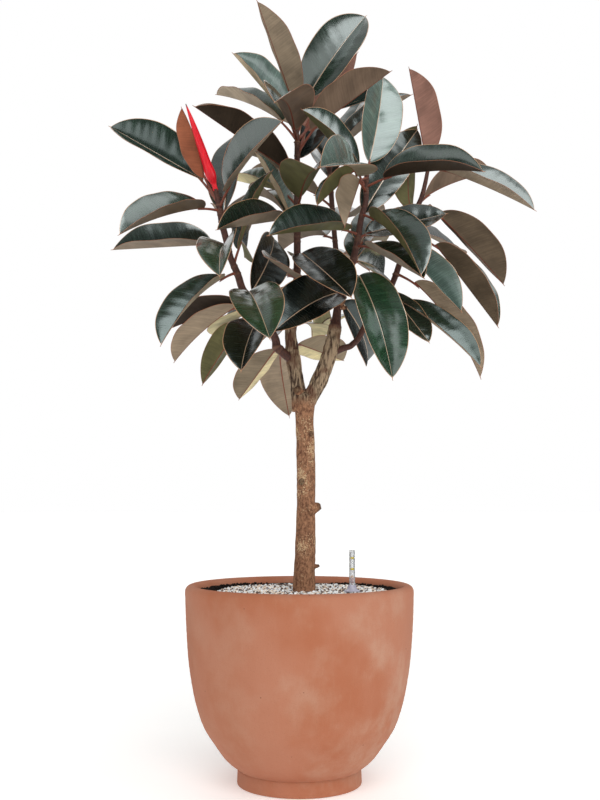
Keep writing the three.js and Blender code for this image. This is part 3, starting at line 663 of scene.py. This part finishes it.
def coloured_plastic(add, tone, roughness):
    """Polystyrene coloured right through, moulded: even tone, satin gloss with faint flow marks."""
    place = add("TexCoord", output="Object")
    flow = add("TexNoise", {"Vector": place, "Scale": 1000 / 8, "Detail": 2})
    dark = add("MapRange", {0: flow, 1: 0.4, 2: 0.7, 3: 1, 4: 0.8})
    body = add("VectorMath", {0: tuple(tone), 3: dark}, operation="SCALE")
    bump = add("Bump", {"Height": flow, "Distance": 0.00003})
    return {"Base Color": body, "Roughness": roughness, "IOR": 1.59, "Normal": bump}


def paper(add, studio):
    """Backdrop paper, matt: white, and lit a little from below as well, as a light table is."""
    glow = {"Emission Color": opaque("#FFFFFF"), "Emission Strength": 0.28}
    return {"Base Color": opaque(studio.floor), "Roughness": 0.9, "Specular IOR Level": 0.1, **glow}


def joint_sections(name, side):
    """Two sections on one side of a joint, along its direction: side 1 starts there, side -1 ends there."""
    place, direction, radius = JOINTS[name]
    axis = unit(np.array(direction, float))
    steps = (-3, 9) if side > 0 else (-9, 0)
    return [(*(np.array(place) + axis * step), radius) for step in steps]


def never(height):
    """No share of a bark at any height."""
    return 0 * height


def always(height):
    """The whole share of a bark at every height."""
    return 0 * height + 1


def corky(height):
    """Share of corky bark on the trunk and its limbs: it comes in with a smooth step at the fork."""
    return ease(height, *CORKY_FROM)


def woody(sections, sides, pace, seed, furrowed, young, scars=(), furrow=1.3):
    """Bark skin along a line: the line's radius plus relief. Relief is lattice noise in cells 5 mm wide that
    are drawn out along the line, as deep as the furrows where furrowed, 0.7 mm elsewhere and 0.2 mm on young
    skin, plus a ring 0.9 mm high at each leaf scar, as a bell curve of the height. furrowed and young give
    the share of each bark at a height."""
    path = curve(sections, max(int(np.linalg.norm(np.subtract(sections[-1], sections[0])[:3]) / pace), 6))
    line, radius = path[None, :, :3], path[:, 3]
    height = path[:, 2][:, None]
    # Cells 5.5 mm wide and 26 mm long, and finer ones half as wide and 9 mm long.
    reach = len(path) * pace
    cells = max(int(2 * np.pi * radius.mean() / 5.5), 5)
    coarse = ripple(len(path), sides, cells, max(int(reach / 26), 2), seed)
    fine = ripple(len(path), sides, cells * 2, max(int(reach / 9), 3), seed + 1)
    relief = np.clip(1.3 * coarse + 0.7 * fine, -1, 1)
    old, fresh = furrowed(height) + 0 * relief, young(height) + 0 * relief
    scar = sum((np.exp(-(((height - place) / 1.7) ** 2)) for place in scars), 0 * height) + 0 * relief
    depth = 0.7 + (furrow - 0.7) * old - 0.5 * fresh
    swell = radius[:, None] + depth * relief + 0.9 * scar * fresh
    grid = round_path(line, swell[None], sides)
    barks = {"relief": relief, "furrowed": old, "young": fresh, "scar": scar * fresh}
    return skin(grid, **{key: value[None] for key, value in barks.items()})


def knob(start, end, radius, flare, seed):
    """Stump of a twig or an old scar: a short round path that narrows evenly from a foot flare times as wide
    and is cut across at its end, a little hollow in the middle. The radius varies by 12% of lattice noise."""
    start, end = np.array(start, float), np.array(end, float)
    share = np.array([0, 0.18, 0.36, 0.54, 0.72, 0.88, 1.0, 1.0, 0.97])[:, None]
    line = start + (end - start) * share
    line[-1] = line[-2] - (end - start) * 0.05
    size = radius * (1 + (flare - 1) * np.clip(1 - share[:, 0], 0, 1)) * [1, 1, 1, 1, 1, 1, 0.9, 0.6, 0.15]
    bumps = ripple(len(line), 20, cells=7, rows=5, seed=seed)
    grid = round_path(line[None], (size[:, None] * (1 + 0.12 * bumps))[None], 20)
    zero = 0 * grid[..., 0]
    ends = np.array([0, 0, 0, 0, 0, 0, 0.2, 1, 1.0])[None, :, None] + zero
    rim = np.array([0, 0, 0, 0, 0.1, 0.5, 0.7, 0, 0])[None, :, None] + zero
    return skin(grid, relief=bumps[None], cut=ends, dim=rim)


def stem_point(sections, heights):
    """Points of a stem at these heights, on the straight lines between its sections."""
    table = np.array(sections, float)
    return np.stack([np.interp(heights, table[:, 2], table[:, k]) for k in (0, 1, 2)], axis=-1)


def leaves(rows, sections, leaf, seed):
    """Blades and stalks. Along the midrib s goes from 0 to 1: base plus length s along the leaf's axis, plus
    4 bow s (1 - s) along its normal. Across, t goes from -1 to 1 over half the width times the outline: the
    two halves rise from the midrib by the fold, and curve outwards. The margins wave by t squared times a
    sine of s, and each half ripples by a sine of the length along the midrib less the slant of the veins.
    Half the thickness is laid off each way, with a keel below the midrib and a groove above it. A stalk is a
    quadratic curve from the stem to the midrib, with a round section."""
    table = np.array([row[1:10] for row in rows], float)
    up, stalk, turn, lift, long, wide, bow, roll, fold = table.T
    rise = np.radians([row[10] if len(row) > 10 else np.clip(row[4] + 25, -25, 75) for row in rows])
    turn, lift, roll, fold = np.radians(turn), np.radians(lift), np.radians(roll), np.radians(fold)
    root = stem_point(sections, up)
    base = root + stalk[:, None] * heading(turn, rise)
    axis, upright = heading(turn, lift), heading(turn, lift + np.pi / 2)
    normal = upright * np.cos(roll)[:, None] + np.cross(axis, upright) * np.sin(roll)[:, None]
    right = np.cross(axis, normal)
    # Rows lie closer at both ends of the blade, and columns at the midrib and the margins.
    s = (0.5 - 0.5 * np.cos(np.pi * np.linspace(0, 1, 57)))[None, :, None]
    half = [0, 0.03, 0.09, 0.24, 0.45, 0.68, 0.88, 0.97, 1]
    t = np.array([-part for part in half[:0:-1]] + half)[None, None]
    long, wide, bow, fold = (part[:, None, None] for part in (long, wide, bow, fold))
    # The outline is an oval, more pointed towards its far end, with a short narrow tip beyond it.
    part = np.clip(s / 0.975, 0, 1)
    oval = np.clip(1 - np.abs(2 * part - 1) ** 2.3, 0, 1) ** (0.6 + 0.22 * ease(part, 0.5, 1))
    reach = wide / 2 * np.maximum(oval, np.where(s > 0.9, 0.5 * (1.004 - s), 0.012))
    axis, normal, right = (part[:, None, None] for part in (axis, normal, right))
    ahead = unit(axis * long[..., None] + normal * (4 * bow * (1 - 2 * s))[..., None])
    above = np.cross(right, ahead)
    rib = base[:, None, None] + axis * (long * s)[..., None] + normal * (4 * bow * s * (1 - s))[..., None]
    soft = np.sqrt(t**2 + 0.03**2) - 0.03
    side = (np.cos(fold) + 0.06 * np.sin(fold) * np.abs(t)) * t
    raised = np.sin(fold) * (1.35 * soft - 0.35 * soft**2)
    # Two to four waves along each margin, and ripples 26 to 42 mm long.
    random = np.random.default_rng(seed).uniform(0, 1, (4, len(rows), 1, 1))
    phase = 2 * np.pi * (random[0] + random[1] * (t > 0) + (2 + 2 * random[2]) * s)
    wave = 1000 * leaf.wave * (0.5 + random[3]) * t**2 * np.sin(phase) * oval
    span = np.abs(t) * reach + 0 * s
    along = long * s - VEIN_SLANT * span
    beat = 2 * np.pi * (along / (26 + 16 * random[2]) + 0.35 * np.sin(along / 31 + 6 * random[0]) + random[1])
    inside = 4 * np.abs(t) * (1 - np.abs(t)) * oval
    wave = wave + 1000 * leaf.ripple * (0.3 + random[1]) * np.sin(beat) * inside
    middle = rib + right * (side * reach)[..., None] + above * (raised * reach + wave)[..., None]
    lean = np.cos(fold) + 0.12 * np.sin(fold) * np.abs(t)
    climb = np.sin(fold) * (1.35 - 0.7 * soft) * t / np.sqrt(t**2 + 0.03**2)
    out = unit(above * lean[..., None] - right * climb[..., None])
    thick = 500 * leaf.thickness * (1 - 0.3 * t**2)
    near = np.exp(-((t * reach / 1.6) ** 2)) * (1 - 0.75 * s + 0.9 * (1 - s) ** 12)
    top, bottom = (middle + out * part[..., None] for part in (thick - 0.3 * near, -thick - 1.3 * near))
    grid = np.concatenate([top, bottom[:, :, ::-1]], axis=2)
    count = t.shape[-1]
    both = {
        "rib": span / (1.7 - s),
        "rim": (1 - np.abs(t)) * reach,
        "vein": along + 400 * np.arange(len(rows))[:, None, None],
        "span": span,
        "gloss": np.array([GLOSS.get(row[0], 1.0) for row in rows])[:, None, None] + 0 * span,
    }
    both = {key: np.concatenate([value, value[:, :, ::-1]], axis=2) for key, value in both.items()}
    tones = ([opaque(TINTS[row[0]][k]) for row in rows] for k in (0, 1, -1))
    upper, left, other = (np.array(tone)[:, None, None] for tone in tones)
    below = np.where(t[..., ::-1, None] < 0, left, other)
    tint = np.concatenate([np.repeat(upper, count, axis=2), below], axis=2) + np.zeros((1, s.size, 1, 1))
    slots = np.where(np.arange(2 * count) < count - 1, 0, 1)
    blades = skin(grid, slots, tint=tint, **both)
    f = np.linspace(0, 1, len(STALK))[None, :, None]
    tip = base + axis[:, 0, 0] * STALK_END - normal[:, 0, 0] * 0.7
    line = root[:, None] * (1 - f) ** 2 + 2 * base[:, None] * f * (1 - f) + tip[:, None] * f**2
    stalks = skin(round_path(line, np.array(STALK) + np.zeros((len(rows), 1)), 8), 2)
    return [blades, stalks]


def pebble():
    """Stone with 24 faces: the outer points of a lattice of three by three by three, drawn in to a ball."""
    lattice = np.stack(np.meshgrid([-1, 0, 1], [-1, 0, 1], [-1, 0, 1], indexing="ij"), axis=-1).reshape(-1, 3)
    outer = np.flatnonzero(np.abs(lattice).max(axis=1) == 1)
    number = np.full(27, -1)
    number[outer] = np.arange(26)
    square = np.array([[0, 0], [1, 0], [1, 1], [0, 1]])
    corner = np.array([[a, b] for a in (0, 1) for b in (0, 1)])
    cells = corner[:, None] + square[None]
    quads = []
    for k in range(3):
        for end in (0, 2):
            place = np.full((4, 4, 3), end)
            place[..., (k + 1) % 3] = cells[..., 0]
            place[..., (k + 2) % 3] = cells[..., 1]
            faces = number[place @ np.array([9, 3, 1])]
            quads.append(faces if end else faces[:, ::-1])
    return unit(lattice[outer].astype(float)), np.concatenate(quads)


def stones(places, sizes, seed, **values):
    """A turned pebble at each place. Each of its three widths is multiplied by 0.62 to 1.1, and each corner
    is chipped: its distance from the middle is multiplied by 0.74 to 1.16."""
    random = np.random.default_rng(seed)
    corners, quads = pebble()
    chipped = corners * random.uniform(0.74, 1.16, (len(places), len(corners), 1))
    chipped = chipped * random.uniform(0.62, 1.1, (len(places), 1, 3))
    turn, _ = np.linalg.qr(random.normal(size=(len(places), 3, 3)))
    turn = turn * np.sign(np.linalg.det(turn))[:, None, None]
    points = np.einsum("nij,nkj->nki", turn, chipped) * np.asarray(sizes)[:, None, None] + places[:, None]
    step = (np.arange(len(places)) * len(corners))[:, None, None]
    return {
        "points": points.reshape(-1, 3),
        "quads": (quads[None] + step).reshape(-1, 4),
        "fans": np.zeros((0, 3), int),
        "slots": (np.zeros(len(places) * len(quads), int), np.zeros(0, int)),
        "values": {key: np.repeat(value, len(corners), axis=0) for key, value in values.items()},
    }


def away(spots, x=0, y=0):
    """Distance of each spot from the upright axis through (x, y)."""
    return np.hypot(spots[:, 0] - x, spots[:, 1] - y)


def scattered(spacing, radius, seed, x=0, y=0):
    """Places on a triangular lattice over a disc, each moved by up to a third of the spacing."""
    count = int(radius / spacing) + 2
    column, row = np.meshgrid(np.arange(-count, count + 1), np.arange(-count, count + 1))
    spots = np.stack([column + 0.5 * (row % 2), row * 0.866], axis=-1).reshape(-1, 2) * spacing
    spots = spots + np.random.default_rng(seed).uniform(-0.33, 0.33, spots.shape) * spacing
    return spots[away(spots) < radius] + (x, y)


class PLANT_OT_pot(bpy.types.Operator):
    """Turn the terracotta pot: its profile about the axis, less lattice noise and two sines of the height"""

    bl_idname = "plant.pot"
    bl_label = "Pot"

    def execute(self, context):
        pot = context.scene.plant_pot
        outer = curve([(r, 0, z, 0) for r, z in BELLY], 70)[:, [0, 2]]
        angle = np.linspace(0, np.pi, 15)[1:, None]
        middle = np.array([RIM_RADIUS - LIP, POT_HEIGHT - LIP])
        lip = middle + LIP * np.hstack([np.cos(angle), np.sin(angle)])
        inner = [(r - WALL, z + 6) for r, z in BELLY[-2:0:-1]]
        # The foot ring's outside, with a worn edge above and below: inset from its radius, and height.
        edge = [(3, 0), (0.4, 0.8), (0, 3), (0, 18), (0, 28), (0.4, 30.4), (1.4, 31.6)]
        foot = [(6, 0), (90, 0), *((FOOT_RADIUS - inset, z) for inset, z in edge)]
        hollow = [(RIM_RADIUS - WALL, SOIL_TOP), *inner, (96, FLOOR_THICKNESS), (6, FLOOR_THICKNESS)]
        profile = np.vstack([foot, outer, lip, hollow])
        radius, height = profile.T[:, :, None]
        outside = ease(height, 3, 30) * (radius > 120)
        sway = 500 * pot.sway * (ripple(len(profile), 160, cells=7, rows=6, seed=11) - 1)
        rings = 1000 * pot.rings * ((np.sin(height / 1.7) + np.sin(height / 2.9)) / 2 - 1)
        grid = turned(profile, 160, sway=outside * (sway + rings))
        clay = material("terracotta_thrown_unglazed", terracotta, pot)
        make_piece("terracotta_pot", [skin(grid)], [clay], "pot")
        return {"FINISHED"}


class PLANT_OT_soil(bpy.types.Operator):
    """Fill the pot with soil: a turned body, its top lattice noise banked at the wall, and crumbs there"""

    bl_idname = "plant.soil"
    bl_label = "Soil"

    def execute(self, context):
        pot = context.scene.plant_pot
        low = FLOOR_THICKNESS + SEAT
        wall = [(r - WALL - SEAT, z + 6) for r, z in BELLY[1:-1]]
        top = [(radius, SOIL_TOP) for radius in np.linspace(213, 6, 40)]
        profile = np.vstack([[(6, low), (95, low)], wall, [(213.6, 374)], top])
        grid = turned(profile, 96)
        bank = lambda x, y: 10 * ease(np.hypot(x, y), 190, 206)
        rise = 1.6 * ripple(len(profile), 96, cells=40, rows=30, seed=3) + bank(grid[..., 0], grid[..., 1])
        grid[..., 2] += rise * (profile[:, 1] == SOIL_TOP)[:, None]
        spots = scattered(5.6, 211, pot.seed)
        spots = spots[away(spots) > CRUMBS_FROM]
        random = np.random.default_rng(pot.seed)
        size = random.uniform(2.0, 4.2, len(spots))
        level = SOIL_TOP + bank(*spots.T) + 0.2 * size + random.uniform(-0.5, 1.8, len(spots))
        crumbs = stones(np.column_stack([spots, level]), size, pot.seed + 1)
        moist = material("peat_moist_crumbled", peat, pot)
        make_piece("potting_soil", [skin(grid), crumbs], [moist], "soil")
        return {"FINISHED"}


class PLANT_OT_gravel(bpy.types.Operator):
    """Lay the pumice: a low bed with chips on a shaken triangular lattice, clear of trunk and gauge"""

    bl_idname = "plant.gravel"
    bl_label = "Gravel"

    def execute(self, context):
        pot = context.scene.plant_pot
        x, y, radius, foot, top = GRAVEL.values()
        edge = [(radius - 6, foot), (radius - 2, foot + 3), (radius - 6, top - 3), (radius - 22, top)]
        profile = [(6, foot), *edge, (6, top)]
        # The bed is dark grey where it shows between the chips: painted shade in the gaps.
        bed = skin(turned(profile, 72, x, y), chip=np.full((1, 6, 72, 4), 0.06))
        chip = 1000 * pot.chip
        spots = scattered(chip * 0.86, radius - 1, pot.seed + 2, x, y)
        spots = spots[away(spots, *TRUNK[0][:2]) > CHIPS_OFF_TRUNK]
        near = away(spots, GAUGE["x"], GAUGE["y"])
        spots, near = spots[near > CHIPS_OFF_GAUGE], near[near > CHIPS_OFF_GAUGE]
        random = np.random.default_rng(pot.seed + 3)
        size = chip / 2 * random.uniform(0.75, 1.25, len(spots))
        # The bed falls away at its edge.
        level = top + random.uniform(-1, 2, len(spots)) - 3.4 * ease(away(spots, x, y) / radius, 0.95, 1)
        # The gauge's collar has pressed the chips round it down.
        level -= 1.8 * (1 - ease(near, 20, 36))
        # The dark share of the chips is partly stone and partly painted shade between them.
        tones = np.array([opaque(tone) for tone in (pot.pale, pot.warm, pot.dark)])
        pick = random.choice(3, len(spots), p=(0.46, 0.26, 0.28))
        tone = tones[pick] * random.uniform(0.72, 1.08, (len(spots), 1))
        chips = stones(np.column_stack([spots, level]), size, pot.seed + 4, chip=np.clip(tone, 0, 1))
        crushed = material("pumice_crushed", pumice, pot)
        piece = make_piece("pumice_gravel", [bed, chips], [crushed], "gravel")
        piece.data.shade_flat()
        return {"FINISHED"}


class PLANT_OT_trunk(bpy.types.Operator):
    """Grow the trunk and its limbs along their lines, with furrowed bark, knobs and scars"""

    bl_idname = "plant.trunk"
    bl_label = "Trunk"

    def execute(self, context):
        wood = context.scene.plant_wood
        depth = 1000 * wood.furrow
        parts = [woody(TRUNK, 72, 1.6, 21, corky, never, furrow=depth)]
        kinds = {
            "leader": (56, corky, never), "right": (56, corky, never),
            "outer": (32, never, always), "left": (36, never, always),
        }
        for number, (name, (sides, old, fresh)) in enumerate(kinds.items()):
            sections = [*LIMBS[name], *joint_sections(name, -1)]
            parts.append(woody(sections, sides, 1.6, 40 + 7 * number, old, fresh, furrow=depth))
        parts += [knob(*row, seed=60 + number) for number, row in enumerate(KNOBS)]
        make_piece("trunk_and_limbs", parts, [material("fig_bark_grown", bark, wood)], "trunk")
        return {"FINISHED"}


class PLANT_OT_shoots(bpy.types.Operator):
    """Grow the five leafy stems, each with its stalks and folded, arched blades"""

    bl_idname = "plant.shoots"
    bl_label = "Leafy stems"

    def execute(self, context):
        wood, leaf = context.scene.plant_wood, context.scene.plant_leaf
        finishes = [
            material("leaf_upper_waxy", blade_skin, leaf, True),
            material("leaf_underside_satin", blade_skin, leaf, False),
            material("leaf_stalk_living", stalk_skin, wood),
            material("fig_bark_grown", bark, wood),
        ]
        for number, name in enumerate(("leader", "right", "outer", "left", "back")):
            node = "outer_right_stem" if name == "outer" else f"{name}_stem"
            top = joint_sections("sheath", -1) if name == "left" else []
            sections = [*joint_sections(name, 1), *STEMS[name], *top]
            limit = CORKY_TO.get(name, 0)
            fresh = partial(ease, low=limit - 8, high=limit + 6)
            old = lambda height, fresh=fresh: 1 - fresh(height)
            scars = [row[1] - 3 for row in LEAVES[name]]
            parts = [woody(sections, 32, 1.5, 80 + 9 * number, old, fresh, scars, 1000 * wood.furrow)]
            if name == "right":
                twig = [(81, 7, 985, 8), *joint_sections("back", -1)]
                parts.append(woody(twig, 28, 1.6, 77, never, always))
                parts += [knob(*row, seed=70 + k) for k, row in enumerate(BROKEN_STUBS)]
            for part in parts:
                part["slots"] = tuple(np.full_like(slots, 3) for slots in part["slots"])
            parts += leaves(LEAVES[name], sections, leaf, 100 + number)
            make_piece(f"leafy_{name}_shoot", parts, finishes, node)
        return {"FINISHED"}


class PLANT_OT_sheath(bpy.types.Operator):
    """Grow the red sheath of the newest bud: a spindle with three creases that wind a quarter round it"""

    bl_idname = "plant.sheath"
    bl_label = "Growth sheath"

    def execute(self, context):
        wood = context.scene.plant_wood
        path = curve([*joint_sections("sheath", 1), *SHEATH], 90)
        angle = np.arange(40)[None] * 2 * np.pi / 40
        share = np.linspace(0, 1, 90)[:, None]
        crease = 1 - 0.09 * np.abs(np.cos(1.5 * angle + 2.4 * share)) ** 6 * np.sin(np.pi * share)
        grid = round_path(path[None, :, :3], (np.maximum(path[:, 3:], 0.5) * crease)[None], 40)
        dim = (ease(share, 0.93, 1) + 0 * angle)[None]
        red = material("growth_sheath_living", sheath_skin, wood)
        make_piece("red_growth_sheath", [skin(grid, dim=dim)], [red], "growth_sheath")
        return {"FINISHED"}


class PLANT_OT_gauge(bpy.types.Operator):
    """Turn the gauge about its axis: clear tube with two level marks, collar and float"""

    bl_idname = "plant.gauge"
    bl_label = "Water level gauge"

    def execute(self, context):
        gauge = context.scene.plant_gauge
        x, y, foot, top, radius, bore = GAUGE.values()
        profile = [
            (0.5, top - 3), (bore, top - 3), (bore, foot + 4), (bore - 2, foot + 4), (bore - 2, foot),
            (radius, foot), (radius, top - 0.8), (radius - 0.8, top), (0.5, top),
        ]
        # Each mark is a slab 0.06 mm thick bent round the front of the tube.
        swing = np.linspace(-0.62, 0.62, 9)
        swing = np.concatenate([swing, swing[::-1]]) - np.pi / 2
        out = np.concatenate([np.full(9, radius + 0.08), np.full(9, radius + 0.02)])
        level = (np.array(MARK_LEVELS)[:, None] + np.linspace(-2, 2, 5))[..., None] + 0 * swing
        across, back = x + out * np.cos(swing) + 0 * level, y + out * np.sin(swing) + 0 * level
        marks = np.stack([across, back, level], axis=-1)
        clear = material("polystyrene_clear_tube", clear_plastic, gauge.tube, 0.8, 0.14)
        ink = material("ink_screen_printed", coloured_plastic, gauge.mark, 0.5)
        parts = [skin(turned(profile, 40, x, y)), skin(marks, 1)]
        make_piece("gauge_clear_tube", parts, [clear, ink], "gauge_tube")
        ring = skin(turned([(r, COLLAR_FOOT + z) for r, z in COLLAR], 48, x, y), wrap=True)
        frosted = material("polystyrene_clear_collar", clear_plastic, gauge.collar, 0.4, 0.2)
        make_piece("gauge_clear_collar", [ring], [frosted], "gauge_collar")
        slots = (np.arange(len(FLOAT) - 1) >= len(FLOAT) - 1 - TIP_BANDS).astype(int)[:, None]
        red = material("polystyrene_red_float", coloured_plastic, gauge.float, 0.35)
        orange = material("polystyrene_orange_tip", coloured_plastic, gauge.tip, 0.35)
        parts = [skin(turned(FLOAT, 32, x, y), slots)]
        make_piece("gauge_red_float", parts, [red, orange], "gauge_float", "float")
        return {"FINISHED"}


class PLANT_OT_studio(bpy.types.Operator):
    """Set the stage: pale floor, white surroundings, soft lights and the camera"""

    bl_idname = "plant.studio"
    bl_label = "Studio"

    def execute(self, context):
        scene, studio = context.scene, context.scene.plant_studio
        angle = np.arange(96) * 2 * np.pi / 96
        # The floor lies half a millimetre below the foot.
        ring = np.stack([FLOOR_REACH * np.cos(angle), FLOOR_REACH * np.sin(angle), 0 * angle - 0.5], axis=-1)
        mesh = bpy.data.meshes.new("floor")
        mesh.from_pydata((ring / 1000).tolist(), [], [list(range(96))])
        mesh.materials.append(material("backdrop_paper_matt", paper, studio))
        floor = bpy.data.objects.new("floor", mesh)
        scene.collection.objects.link(floor)
        # White surroundings. As light they are brightest overhead and dim at the level of the plant, so that
        # the gloss of the leaves has light and dark in it.
        world = bpy.data.worlds.new("surroundings")
        world.use_nodes = True
        world.node_tree.nodes.clear()
        add = partial(add_node, world.node_tree)
        way = add("TexCoord", output="Generated")
        rise = add("VectorMath", {0: way, 1: (0.0, 0.2, 1.0)}, 1, operation="DOT_PRODUCT")
        ends = {0: rise, 1: 0.2, 2: 1.0, 3: studio.dim, 4: studio.sky}
        glow = add("MapRange", ends, interpolation_type="SMOOTHSTEP")
        seen = add("LightPath", output="Is Camera Ray")
        through = add("LightPath", output="Is Transmission Ray")
        straight = add("Math", {0: seen, 1: through}, operation="MAXIMUM")
        strength = add("MapRange", {0: straight, 3: glow, 4: 1.0})
        add("OutputWorld", {0: add("Background", {"Color": (1, 1, 1, 1), "Strength": strength})})
        scene.world = world
        for name, (place, share, angle, shadow) in LIGHTS.items():
            lamp = bpy.data.lights.new(name, "SUN")
            lamp.energy, lamp.angle, lamp.use_shadow = studio.key * share, math.radians(angle), shadow
            held = bpy.data.objects.new(name, lamp)
            level = math.hypot(place[0], place[1])
            held.rotation_euler = (math.atan2(level, place[2]), 0, math.atan2(place[0], -place[1]))
            scene.collection.objects.link(held)
        view = bpy.data.cameras.new("camera")
        view.lens, view.sensor_fit, view.sensor_height = studio.lens, "VERTICAL", 36
        camera = bpy.data.objects.new("camera", view)
        camera.location = [place / 1000 for place in CAMERA_PLACE]
        camera.rotation_euler = (math.radians(CAMERA_TILT), 0, 0)
        scene.collection.objects.link(camera)
        scene.camera = camera
        # Colours come out as in a plain photograph.
        scene.view_settings.view_transform = "Standard"
        return {"FINISHED"}


class PLANT_PT_sidebar(bpy.types.Panel):
    """Sizes, colours and the operators that build the plant"""

    bl_idname = "PLANT_PT_sidebar"
    bl_label = "Rubber plant"
    bl_space_type = "VIEW_3D"
    bl_region_type = "UI"
    bl_category = "Plant"

    def draw(self, context):
        for title, key, _ in GROUPS:
            box = self.layout.box()
            box.label(text=title)
            settings = getattr(context.scene, key)
            for name in settings.bl_rna.properties.keys():
                if name not in ("rna_type", "name"):
                    box.prop(settings, name)
        for operator in OPERATORS:
            self.layout.operator(operator.bl_idname)


GROUPS = (
    ("Pot, soil and gravel", "plant_pot", PotSettings), ("Wood", "plant_wood", WoodSettings),
    ("Leaves", "plant_leaf", LeafSettings), ("Gauge", "plant_gauge", GaugeSettings),
    ("Studio", "plant_studio", StudioSettings),
)
OPERATORS = (
    PLANT_OT_studio, PLANT_OT_pot, PLANT_OT_soil, PLANT_OT_gravel, PLANT_OT_trunk, PLANT_OT_shoots,
    PLANT_OT_sheath, PLANT_OT_gauge,
)
CLASSES = (*(settings for _, _, settings in GROUPS), *OPERATORS, PLANT_PT_sidebar)


def register():
    """Registers the classes and gives the scene its groups of settings."""
    for made in CLASSES:
        bpy.utils.register_class(made)
    for _, key, settings in GROUPS:
        setattr(bpy.types.Scene, key, PointerProperty(type=settings))


def unregister():
    """Takes all of that back."""
    for _, key, _ in GROUPS:
        delattr(bpy.types.Scene, key)
    for made in reversed(CLASSES):
        bpy.utils.unregister_class(made)


def main():
    """Builds the stage and every piece."""
    register()
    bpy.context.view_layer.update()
    for operator in OPERATORS:
        getattr(bpy.ops.plant, operator.bl_idname.split(".")[1])()


if __name__ == "__main__":
    main()
